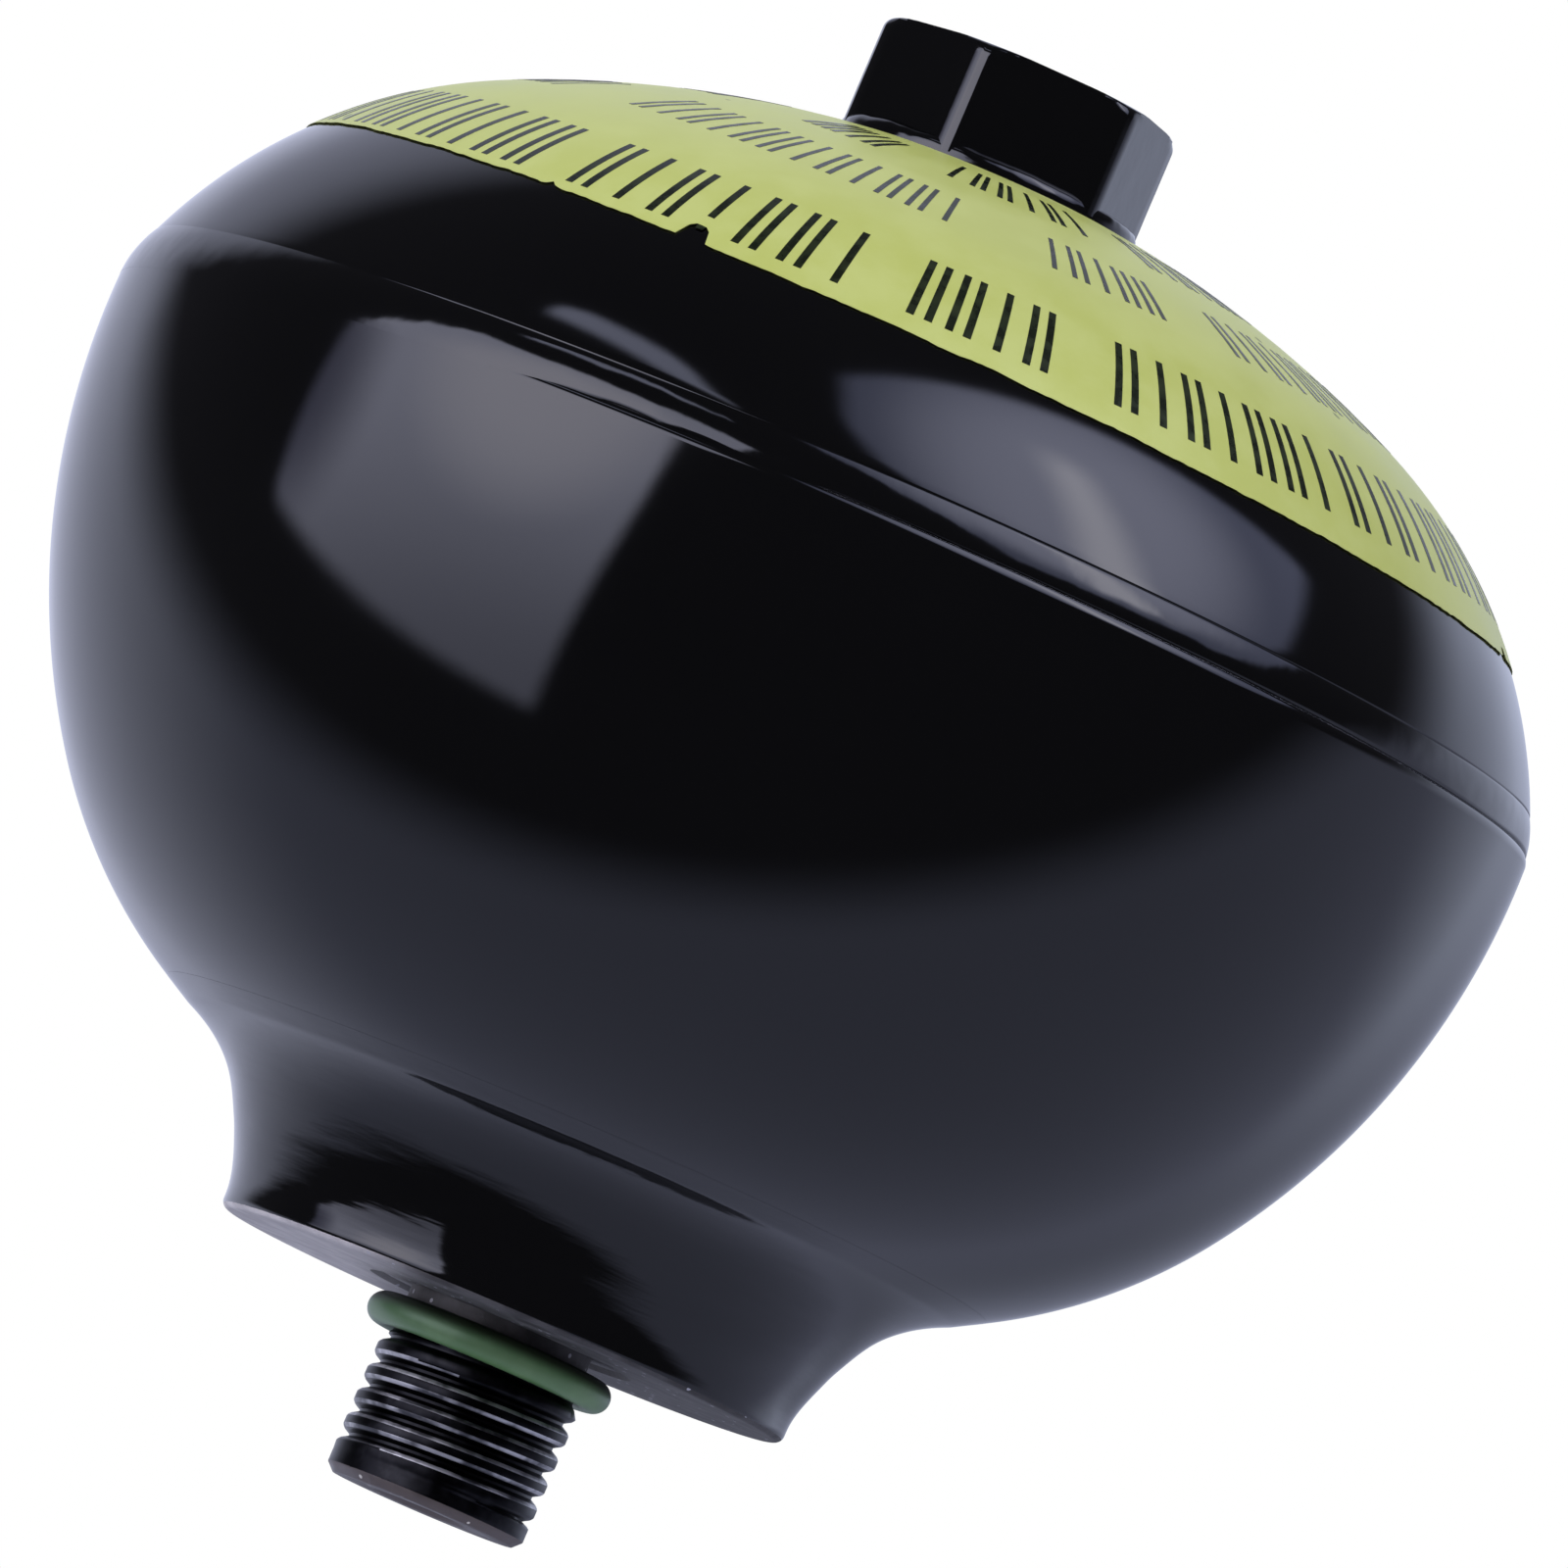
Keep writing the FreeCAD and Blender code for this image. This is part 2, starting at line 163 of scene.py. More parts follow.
# Charging boss: hexagon with turned corners and a weld at its foot
hex_across_flats = 16.0 * MM
hex_corner_radius = 9.07 * MM
hex_turn = -19.3
hex_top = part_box("hex_boss")[1].z
hex_top_round = 0.8 * MM
hex_edge_round = 0.12 * MM
hex_bore_chamfer = 0.25 * MM
hex_unevenness = 0.012 * MM
hex_flat_steps = 12
hex_corner_steps = 4
boss_weld_lip = 0.05 * MM
boss_weld_height = 1.0 * MM
boss_weld_depth = 0.8 * MM
boss_weld_sink = 0.1 * MM
boss_weld_wave = 0.08 * MM
boss_weld_fine_wave = 0.02 * MM

# Face of the boss weld: distance inside its foot, height over its foot, steps
boss_weld_face = [(0.06 * MM, 0.5 * MM, 4), (0.22 * MM, 0.78 * MM, 2), (0.5 * MM, 0.95 * MM, 2),
                  (0.85 * MM, boss_weld_height, 1)]

# Screw plug in the boss, and the ball's seat and the charging hole under it
plug_radius = 4.0 * MM
plug_length = 3.4 * MM
plug_sink = 0.3 * MM
plug_chamfer = 0.4 * MM
plug_socket_across_flats = 4.0 * MM
plug_socket_depth = 2.0 * MM
charge_hole_radius = 0.9 * MM
charge_seat_radius = 1.7 * MM

# Label film and the plain strokes printed on it
film_thickness = 0.09 * MM
film_glue = 0.02 * MM
film_inner_radius = 9.55 * MM
film_edge_drop = 13.5 * MM
film_edge_tilt = 1.3
film_give = 3.0 * MM
film_trim = 1.5 * MM
film_wave = 0.08 * MM
film_fine_wave = 0.06 * MM
stroke_pair_gap = 0.42
ink_thickness = 0.015 * MM

# Torn places of the film's edge: angle from the camera's side, half width in degrees, height
film_tears = [(-22.0, 1.3, 1.0 * MM), (-37.0, 0.5, 0.3 * MM), (77.0, 0.9, 0.5 * MM)]

# Fineness of the meshes
full_turn = 2 * math.pi
turn_steps = 256
weld_steps = 720
helix_steps = 180
arc_step = 2.0
fine_arc_step = 1.0
hidden_arc_step = 3.0
merge_distance = 0.001 * MM
cut_tolerance = 0.0001 * MM

# Margins by which faces and vertices are told apart
margin = 0.1 * MM
fine_margin = 0.01 * MM

# Geometry of the section plane

def on_circle(centre, radius, degrees):
    """Point of a circle at an angle above the horizontal."""
    turn = math.radians(degrees)
    return (centre[0] + radius * math.cos(turn), centre[1] + radius * math.sin(turn))


def angle_of(centre, point):
    """Angle above the horizontal at which a point stands about a centre."""
    return math.degrees(math.atan2(point[1] - centre[1], point[0] - centre[0]))


def circle_reach(centre, radius, height):
    """Outer radius that a circle in the section plane has at a height."""
    return centre[0] + math.sqrt(radius ** 2 - (height - centre[1]) ** 2)


def circle_rise(centre, radius, run):
    """Upper height that a circle in the section plane has at a distance from the axis."""
    return centre[1] + math.sqrt(radius ** 2 - (run - centre[0]) ** 2)


# Places that several pieces share
knuckle_offset = on_circle((0, 0), ball_radius - bowl_knuckle_radius, bowl_knuckle_angle)
bowl_knuckle_centre = (knuckle_offset[0], bowl_bottom + bowl_knuckle_radius)
ball_centre = (0, bowl_knuckle_centre[1] + knuckle_offset[1])
bowl_floor = bowl_bottom + lower_wall
seam_height = ball_centre[1] + seam_rise
dome_rim = (circle_reach(ball_centre, ball_radius, seam_height) - dome_step, seam_height)
dome_knuckle_centre = on_circle(dome_rim, -dome_knuckle_radius, dome_rim_angle)
crown_run = crown_radius - dome_knuckle_radius
crown_centre = (0, dome_knuckle_centre[1] - math.sqrt(crown_run ** 2 - dome_knuckle_centre[0] ** 2))
crown_angle = angle_of(crown_centre, dome_knuckle_centre)
apex_height = crown_centre[1] + crown_radius
rim_bore_radius = ball_radius - rim_wall
bead_bore_radius = rim_bore_radius - clamp_ledge
flange_top = seam_height - spigot_length
flange_bottom = flange_top - clamp_flange
pocket_bottom = flange_bottom - pocket_depth
skirt_outer_radius = bead_bore_radius - pocket_width
bore_bottom = hex_top - plug_sink - plug_length
weld_root = (rim_bore_radius, seam_height)
weld_top = seam_height + weld_half_height
dome_lip = (circle_reach(dome_knuckle_centre, dome_knuckle_radius, weld_top), weld_top)
shoulder_angle = math.degrees(math.asin(shoulder_start / ball_radius))
shoulder_centre = on_circle(ball_centre, ball_radius - shoulder_radius, shoulder_angle)
shoulder_end = on_circle(shoulder_centre, shoulder_radius, shoulder_turn)
fillet_height = neck_edge_radius + neck_land
fillet_run = neck_radius - bowl_knuckle_centre[0]
fillet_rise = bowl_knuckle_centre[1] - fillet_height
fillet_radius = ((fillet_run ** 2 + fillet_rise ** 2 - bowl_knuckle_radius ** 2)
                 / (2 * (bowl_knuckle_radius - fillet_run)))
fillet_centre = (neck_radius + fillet_radius, fillet_height)
fillet_end_angle = angle_of(fillet_centre, bowl_knuckle_centre)
weld_start_angle = fillet_end_angle + math.degrees(fitting_weld_face / fillet_radius)
weld_seat_angle = (angle_of(bowl_knuckle_centre, fillet_centre)
                   - math.degrees(fitting_weld_seat / bowl_knuckle_radius))
thread_top = -undercut_length
thread_bottom = thread_top - thread_length
stud_tip = thread_bottom - thread_end_chamfer


# Outlines and turned pieces

class Outline:
    """Run of vertices and edges in the section plane, drawn from point to point."""

    def __init__(self, start):
        self.mesh = bmesh.new()
        self.first = self.mesh.verts.new((start[0], 0, start[1]))
        self.last = self.first

    def line(self, end, steps=1):
        start = self.last.co.copy()
        goal = Vector((end[0], 0, end[1]))
        for step in range(steps):
            grown = bmesh.ops.extrude_vert_indiv(self.mesh, verts=[self.last])
            self.last = grown["verts"][0]
            self.last.co = start.lerp(goal, (step + 1) / steps)
        return self

    def lines(self, *ends):
        """Straight runs to one point after another."""
        for end in ends:
            self.line(end)
        return self

    def arc(self, centre, degrees, step=arc_step):
        """Arc about a centre from the last point, anticlockwise where degrees are positive."""
        grown = bmesh.ops.spin(
            self.mesh, geom=[self.last], cent=(centre[0], 0, centre[1]), axis=(0, -1, 0),
            angle=math.radians(degrees), steps=max(2, math.ceil(abs(degrees) / step)))
        self.last = [item for item in grown["geom_last"] if isinstance(item, bmesh.types.BMVert)][0]
        return self

    def close(self):
        self.mesh.edges.new((self.last, self.first))
        return self

    def turn(self, steps=turn_steps):
        """Full turn about the axis. The mesh that comes back is closed and points outwards."""
        bmesh.ops.spin(self.mesh, geom=self.mesh.edges[:], cent=(0, 0, 0), axis=(0, 0, 1),
                       angle=full_turn, steps=steps, use_merge=True)
        bmesh.ops.remove_doubles(self.mesh, verts=self.mesh.verts, dist=merge_distance / 2)
        bmesh.ops.recalc_face_normals(self.mesh, faces=self.mesh.faces)
        return self.mesh


def scene_object(name, mesh, finishes):
    """Object in the scene from a finished mesh, with its finishes in their slots."""
    data = bpy.data.meshes.new(name)
    mesh.to_mesh(data)
    mesh.free()
    for finish in finishes:
        data.materials.append(finish)
    made = bpy.data.objects.new(name, data)
    bpy.context.scene.collection.objects.link(made)
    return made


def make_piece(name, mesh, finishes, body, replaced=(), sharp_angle=35.0):
    """Piece of the part from a finished mesh, riding on a body, in place of CAD nodes."""
    piece = scene_object(name, mesh, finishes)
    piece.data.shade_smooth()
    piece.data.set_sharp_from_angle(angle=math.radians(sharp_angle))
    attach(piece, body)
    if replaced:
        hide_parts(*replaced)
    return piece


def around(vertex):
    """Angle of a vertex about the axis."""
    return math.atan2(vertex.co.y, vertex.co.x)


def reach_of(vertex):
    """Distance of a vertex from the axis."""
    return math.hypot(vertex.co.x, vertex.co.y)


def shift_radius(vertex, amount):
    """Moves a vertex away from the axis."""
    radius = reach_of(vertex)
    vertex.co.x *= 1 + amount / radius
    vertex.co.y *= 1 + amount / radius


def limit_radius(vertex, limit):
    """Moves a vertex in to a distance from the axis, if it stands further out."""
    excess = reach_of(vertex) - limit
    if excess > 0:
        shift_radius(vertex, -excess)


def cut(mesh, height, normal, clear=True):
    """Cuts a mesh by a plane that meets the axis at a height, and clears the normal's side."""
    whole = mesh.verts[:] + mesh.edges[:] + mesh.faces[:]
    bmesh.ops.bisect_plane(mesh, geom=whole, dist=cut_tolerance, plane_co=(0, 0, height),
                           plane_no=normal, clear_outer=clear)


def wander(angle, pace, seed):
    """Smooth value between about -1 and 1 that wanders round the axis and meets itself."""
    return noise.noise(Vector((pace * math.cos(angle), pace * math.sin(angle), seed)))


def smooth_share(value, low, high):
    """Share from 0 to 1 of the way from low to high, eased at both ends."""
    share = min(1, max(0, (value - low) / (high - low)))
    return share * share * (3 - 2 * share)


def face_centre_radius(face):
    centre = face.calc_center_median()
    return math.hypot(centre.x, centre.y)


# Materials
noise_low = 0.3
noise_high = 0.7
paint_index = 1.5


def node(material, kind, inputs, **settings):
    """Adds a shader node. An input is a value, or another node's output to link."""
    made = material.node_tree.nodes.new("ShaderNode" + kind)
    for name, value in settings.items():
        setattr(made, name, value)
    for key, value in inputs.items():
        if isinstance(value, bpy.types.NodeSocket):
            material.node_tree.links.new(value, made.inputs[key])
        else:
            made.inputs[key].default_value = value
    return made


def math_node(material, operation, *values, clamp=False):
    inputs = dict(enumerate(values))
    return node(material, "Math", inputs, operation=operation, use_clamp=clamp).outputs[0]


def mix_colour(material, share, one, two):
    """Colour output that goes from one to two with a share."""
    made = node(material, "Mix", {0: share, 6: one, 7: two}, data_type="RGBA")
    return made.outputs[2]


def ramp(material, value, low, high, to_low=0.0, to_high=1.0):
    """Value carried smoothly from one range to another."""
    made = node(material, "MapRange", {"Value": value, "From Min": low, "From Max": high,
                                       "To Min": to_low, "To Max": to_high},
                interpolation_type="SMOOTHSTEP")
    return made.outputs[0]


def mottled(material, pattern, low, high, one, two):
    """Colour output that goes from one to two where a pattern rises from low to high."""
    return mix_colour(material, ramp(material, pattern, low, high), one, two)


def cloudy(material, pattern, least, most):
    """Roughness that follows a noise, whose values lie mostly between noise_low and noise_high."""
    return ramp(material, pattern, noise_low, noise_high, least, most)


def colour(red, green, blue):
    return (red, green, blue, 1.0)


def new_finish(name, **sockets):
    """Material under one Principled shader, with the sockets that stay the same all over."""
    material = bpy.data.materials.new(name)
    material.use_nodes = True
    shader = material.node_tree.nodes["Principled BSDF"]
    for socket, value in sockets.items():
        shader.inputs[socket.replace("_", " ")].default_value = value
    return material, shader


def drive(material, shader, **sockets):
    """Links node outputs to the sockets of the Principled shader."""
    for socket, output in sockets.items():
        material.node_tree.links.new(output, shader.inputs[socket.replace("_", " ")])


def object_place(material):
    return node(material, "TexCoord", {}).outputs["Object"]


def grain(material, place, scale, detail=2.0, rough=0.5):
    inputs = {"Vector": place, "Scale": scale, "Detail": detail, "Roughness": rough}
    return node(material, "TexNoise", inputs).outputs["Fac"]


def bump(material, height, depth, under=None):
    """Normal output of a bump of a depth, over another bump's normal where one is given."""
    inputs = {"Height": height, "Distance": depth, "Strength": 1.0}
    if under is not None:
        inputs["Normal"] = under
    return node(material, "Bump", inputs).outputs["Normal"]


def specks(material, place, scale, size, share):
    """Mask of sparse round specks: a cell has one where its random value is under a share."""
    cells = node(material, "TexVoronoi", {"Vector": place, "Scale": scale})
    near = math_node(material, "LESS_THAN", cells.outputs["Distance"], size)
    parts = node(material, "SeparateColor", {0: cells.outputs["Color"]})
    chosen = math_node(material, "LESS_THAN", parts.outputs[0], share)
    return math_node(material, "MULTIPLY", near, chosen)


def gloss_paint(name, waviness, dust_share, streaks=0):
    """Black gloss paint: faint orange peel, cloudy gloss, a few dust specks, marks round the axis."""
    material, shader = new_finish(name, IOR=paint_index)
    place = object_place(material)
    clouds = grain(material, place, 60, 3)
    dust = specks(material, place, 420, 0.045, dust_share)
    base = mix_colour(material, clouds, colour(0.0010, 0.0010, 0.0012), colour(0.0018, 0.0018, 0.0021))
    base = mix_colour(material, dust, base, colour(0.12, 0.12, 0.13))
    roughness = math_node(material, "ADD", cloudy(material, clouds, 0.055, 0.085),
                          math_node(material, "MULTIPLY", dust, 0.4))
    normal = bump(material, grain(material, place, 700, 2), waviness)
    if streaks:
        squeezed = node(material, "Mapping", {"Vector": place, "Scale": (0.12, 0.12, 1.0)}).outputs[0]
        normal = bump(material, grain(material, squeezed, 900, 3), streaks, under=normal)
    drive(material, shader, Base_Color=base, Roughness=roughness, Normal=normal)
    return material


def oiled_steel(name, tone, roughness_low, roughness_high, pitch):
    """Plain turned steel: fine rings round the axis and a slightly uneven tone."""
    material, shader = new_finish(name, Metallic=1.0)
    place = object_place(material)
    squeeze = node(material, "Mapping", {"Vector": place, "Scale": (0.05, 0.05, 1.0)}).outputs[0]
    rings = grain(material, squeeze, pitch, 3, 0.6)
    clouds = grain(material, place, 180, 3)
    dark = colour(tone * 0.7, tone * 0.7, tone * 0.72)
    base = mix_colour(material, clouds, dark, colour(tone, tone, tone * 1.02))
    roughness = cloudy(material, clouds, roughness_low, roughness_high)
    drive(material, shader, Base_Color=base, Roughness=roughness, Normal=bump(material, rings, 0.02 * MM))
    return material


def seat_steel():
    """Bare machined seat face: painted light on the left and painted shade elsewhere, with bright specks
    that stand in for glints.
    """
    material, shader = new_finish("seat_steel", Metallic=1.0)
    place = object_place(material)
    stains = grain(material, place, 350, 4, 0.6)
    # Bright specks of bare steel, painted in as glints
    glint_specks = specks(material, place, 1900, 0.26, 0.10)
    side = node(material, "SeparateXYZ", {0: place}).outputs[0]
    dark = mottled(material, stains, 0.35, 0.65, colour(0.10, 0.095, 0.09), colour(0.19, 0.183, 0.175))
    painted_lit_tone = mottled(material, stains, 0.35, 0.65, colour(0.62, 0.58, 0.55), colour(0.80, 0.76, 0.72))
    # Painted light and shade: the lit tone left of the axis, the shaded tone to the right
    base = mottled(material, side, -10 * MM, -4 * MM, painted_lit_tone, dark)
    base = mix_colour(material, glint_specks, base, colour(0.62, 0.61, 0.62))
    pits = grain(material, place, 3000, 2)
    drive(material, shader, Base_Color=base, Roughness=cloudy(material, stains, 0.6, 0.75),
          Normal=bump(material, pits, 0.03 * MM))
    return material


def clouded(name, clouds, tones, roughness, cover=(), marks=None, texture=None, depth=0, painted_shade=None,
            **sockets):
    """Two tones in clouds, given by scale, detail and roughness. They mix as the noise says, or
    where it passes through the range of cover. Marks are specks in a colour, a painted shade is a
    darker colour painted in over a range of heights, and a bump follows a texture or else the clouds."""
    material, shader = new_finish(name, **sockets)
    place = object_place(material)
    pattern = grain(material, place, *clouds)
    share = ramp(material, pattern, *cover) if cover else pattern
    base = mix_colour(material, share, colour(*tones[0]), colour(*tones[1]))
    if marks:
        base = mix_colour(material, specks(material, place, *marks[:3]), base, colour(*marks[3]))
    # Painted shade: the base darkens towards a colour over a range of heights
    if painted_shade:
        height = node(material, "SeparateXYZ", {0: place}).outputs[2]
        base = mottled(material, height, *painted_shade[:2], base, colour(*painted_shade[2]))
    drive(material, shader, Base_Color=base, Roughness=cloudy(material, pattern, *roughness))
    if depth:
        relief = grain(material, place, *texture) if texture else pattern
        drive(material, shader, Normal=bump(material, relief, depth))
    return material


def thread_steel():
    """Flanks and roots of the thread, dark and oily."""
    return clouded("thread_steel", (500, 3, 0.6), [(0.008, 0.008, 0.009), (0.022, 0.022, 0.024)],
                   (0.30, 0.42), cover=(0.4, 0.7), depth=0.004 * MM, Metallic=1.0)


def crest_wear_and_glint():
    """Edges of the thread's crests: rubbed bright in places, and painted brighter to stand in for the
    glints along them.
    """
    return clouded("crest_wear_and_glint", (420, 3, 0.6), [(0.10, 0.10, 0.108), (0.62, 0.61, 0.62)],
                   (0.38, 0.50), cover=(0.36, 0.62), depth=0.004 * MM, Metallic=1.0)


def end_steel():
    """Sawn and chamfered end of the stud: brownish dark grey with a few bright nicks, which also stand in
    for painted glints.
    """
    return clouded("end_steel", (700, 4, 0.6), [(0.060, 0.050, 0.055), (0.125, 0.105, 0.112)],
                   (0.35, 0.55), marks=(1500, 0.2, 0.12, (0.55, 0.53, 0.54)), depth=0.02 * MM,
                   Metallic=0.4)


def seal_rubber():
    """Green sealing ring: smooth moulded rubber with a faint bloom, and painted shade along its upper
    side, under the seat face.
    """
    return clouded("seal_rubber", (260, 4, 0.6), [(0.070, 0.150, 0.072), (0.105, 0.200, 0.105)],
                   (0.36, 0.48), cover=(0.35, 0.7), texture=(1800, 2), depth=0.006 * MM,
                   painted_shade=(-1.75 * MM, -1.0 * MM, (0.016, 0.026, 0.013)), IOR=paint_index)


def moulded_rubber():
    """Black moulded rubber of the diaphragm, matt, with a fine mould texture."""
    return clouded("moulded_rubber", (90, 3), [(0.012, 0.012, 0.012), (0.026, 0.026, 0.027)],
                   (0.55, 0.7), texture=(1500, 3), depth=0.02 * MM, IOR=paint_index)


def label_film():
    """Yellow-green printed film: satin, a little mottled, with small dark scuffs."""
    return clouded("label_film", (240, 4, 0.6), [(0.445, 0.495, 0.135), (0.478, 0.530, 0.175)],
                   (0.36, 0.44), cover=(0.3, 0.7), marks=(520, 0.16, 0.035, (0.17, 0.20, 0.05)),
                   texture=(900, 2), depth=0.004 * MM, IOR=paint_index)


def print_ink():
    """Black print on the film, a little thin in places."""
    return clouded("print_ink", (1100, 3), [(0.005, 0.008, 0.002), (0.016, 0.024, 0.006)],
                   (0.24, 0.34), cover=(0.35, 0.75), IOR=paint_index)


# Shells and the weld between them

def lower_shell(paint, inside):
    """Bowl with its rolled shoulder, bored for the fitting and stepped inside its rim."""
    inner_ball = ball_radius - lower_wall
    inner_knuckle = bowl_knuckle_radius - lower_wall
    pocket_reach = circle_reach(ball_centre, inner_ball, pocket_bottom)
    pocket_angle = angle_of(ball_centre, (pocket_reach, pocket_bottom))
    outline = Outline((fitting_spigot_radius, bowl_bottom))
    outline.line((bowl_knuckle_centre[0], bowl_bottom))
    outline.arc(bowl_knuckle_centre, 90 - bowl_knuckle_angle, fine_arc_step)
    outline.arc(ball_centre, bowl_knuckle_angle + shoulder_angle, fine_arc_step)
    outline.arc(shoulder_centre, shoulder_turn - shoulder_angle, step=4.0)
    outline.lines(weld_root, (rim_bore_radius, flange_bottom), (bead_bore_radius, flange_bottom),
                  (bead_bore_radius, pocket_bottom), (pocket_reach, pocket_bottom))
    outline.arc(ball_centre, -bowl_knuckle_angle - pocket_angle, hidden_arc_step)
    outline.arc(bowl_knuckle_centre, bowl_knuckle_angle - 90, hidden_arc_step)
    outline.line((fitting_spigot_radius, bowl_floor))
    mesh = outline.close().turn()
    inner_limit = ball_radius - lower_wall / 2
    for face in mesh.faces:
        centre = face.calc_center_median()
        reach = math.hypot(face_centre_radius(face), centre.z - ball_centre[1])
        facing_out = face.normal.dot(centre - Vector((0, 0, ball_centre[1]))) > 0
        on_skin = reach > inner_limit or centre.z < bowl_floor - margin
        painted = facing_out and on_skin and centre.z < seam_height - bowl_paint_end
        face.material_index = 0 if painted else 1
    finishes = [paint, inside]
    return make_piece("lower_shell_painted", mesh, finishes, "shell", ["lower_shell"])


def upper_shell(paint, inside):
    """Dome with a rounded lower lip, a spigot inside the rim and the charging hole on top."""
    inner_knuckle = dome_knuckle_radius - upper_wall
    inner_crown = crown_radius - upper_wall
    lip_angle = angle_of(dome_knuckle_centre, dome_lip)
    lip_centre = on_circle(dome_knuckle_centre, dome_knuckle_radius - dome_lip_radius, lip_angle)
    lip_start = on_circle(lip_centre, dome_lip_radius, lip_angle - dome_lip_turn)
    hole_angle = angle_of(crown_centre, (charge_hole_radius, apex_height))
    opening = circle_reach(dome_knuckle_centre, inner_knuckle, seam_height)
    opening_angle = angle_of(dome_knuckle_centre, (opening, seam_height))
    spigot_radius = rim_bore_radius - spigot_clearance
    hole_under = circle_rise(crown_centre, inner_crown, charge_hole_radius)
    hole_under_angle = angle_of(crown_centre, (charge_hole_radius, hole_under))
    outline = Outline(lip_start)
    outline.arc(lip_centre, dome_lip_turn, step=8.0)
    outline.arc(dome_knuckle_centre, crown_angle - lip_angle, fine_arc_step)
    outline.arc(crown_centre, hole_angle - crown_angle, fine_arc_step)
    outline.line((charge_hole_radius, hole_under))
    outline.arc(crown_centre, crown_angle - hole_under_angle, hidden_arc_step)
    outline.arc(dome_knuckle_centre, opening_angle - crown_angle, hidden_arc_step)
    outline.lines((opening, flange_top), (spigot_radius, flange_top), (spigot_radius, seam_height),
                  weld_root)
    mesh = outline.close().turn()
    for face in mesh.faces:
        centre = face.calc_center_median()
        facing_out = face.normal.dot(centre - Vector((0, 0, crown_centre[1]))) > 0
        face.material_index = 0 if facing_out and centre.z > weld_top - 2 * margin else 1
    finishes = [paint, inside]
    return make_piece("upper_shell_painted", mesh, finishes, "shell", ["upper_shell"])


def girth_weld(paint):
    """Weld bead between the shells. Its toes lie open to the right and are filled elsewhere."""
    low_toe = (shoulder_end[0] - weld_toe_sink, shoulder_end[1] + weld_toe_gap)
    high_toe = (dome_lip[0] - weld_toe_sink, dome_lip[1] - weld_toe_gap)
    low_edge = (shoulder_end[0] + weld_low_cover, low_toe[1] + weld_toe_width)
    high_edge = (dome_lip[0] + weld_high_cover, high_toe[1] - weld_toe_width)
    chord = Vector(high_edge) - Vector(low_edge)
    sweep = 4 * math.atan(2 * weld_crown / chord.length)
    bead_radius = chord.length / 2 / math.sin(sweep / 2)
    middle = (Vector(low_edge) + Vector(high_edge)) / 2
    inward = Vector((-chord.y, chord.x)).normalized()
    bead_centre = middle + inward * bead_radius * math.cos(sweep / 2)
    outline = Outline(low_toe)
    outline.line(low_edge, steps=3)
    outline.arc(bead_centre, math.degrees(sweep), math.degrees(sweep) / weld_bead_steps)
    outline.line(high_toe, steps=3)
    open_points = sorted((vertex.co.z, vertex.co.x) for vertex in outline.mesh.verts)
    fill_start = on_circle(ball_centre, ball_radius + weld_fill_cover, shoulder_angle - weld_fill_lap)
    fill_end = (dome_lip[0] + weld_toe_gap, dome_lip[1])
    fill_chord = Vector(fill_end) - Vector(fill_start)
    half_sweep = 90 - math.degrees(math.atan2(fill_chord.y, -fill_chord.x)) - shoulder_angle
    fill_radius = fill_chord.length / 2 / math.sin(math.radians(half_sweep))
    fill_centre = on_circle(fill_start, -fill_radius, shoulder_angle)
    last = len(open_points) - 1
    filled_points = [on_circle(fill_centre, fill_radius, shoulder_angle + 2 * half_sweep * place / last)
                     for place in range(last + 1)]
    outline.line(weld_root)
    mesh = outline.close().turn(weld_steps)
    for vertex in mesh.verts:
        reach = reach_of(vertex)
        if reach < rim_bore_radius + weld_face_depth:
            continue
        angle = around(vertex)
        place = min(range(last + 1), key=lambda index: abs(open_points[index][0] - vertex.co.z))
        to_right = math.cos(angle + math.radians(90 - weld_open_azimuth))
        rag = 0.30 * wander(angle, pace=4.0, seed=3.1) + 0.08 * wander(angle, pace=17.0, seed=7.7)
        fill_low = smooth_share(rag - to_right, *weld_fill_low)
        fill_high = smooth_share(rag - weld_fill_high_lean * to_right, *weld_fill_high)
        upward = place / last
        fill = fill_low * (1 - upward) + fill_high * upward
        ripple = (weld_ripple * wander(angle, 24.0, vertex.co.z / (0.9 * MM))
                  + weld_fine_ripple * wander(angle, 70.0, vertex.co.z / MM))
        crowned = 4 * upward * (1 - upward)
        shift_radius(vertex, fill * (filled_points[place][0] - reach) + ripple * crowned)
        vertex.co.z += fill * (filled_points[place][1] - vertex.co.z)
    return make_piece("girth_weld_bead", mesh, [paint], "shell", ["girth_weld"], 60.0)


# Neck, its weld and the seat face

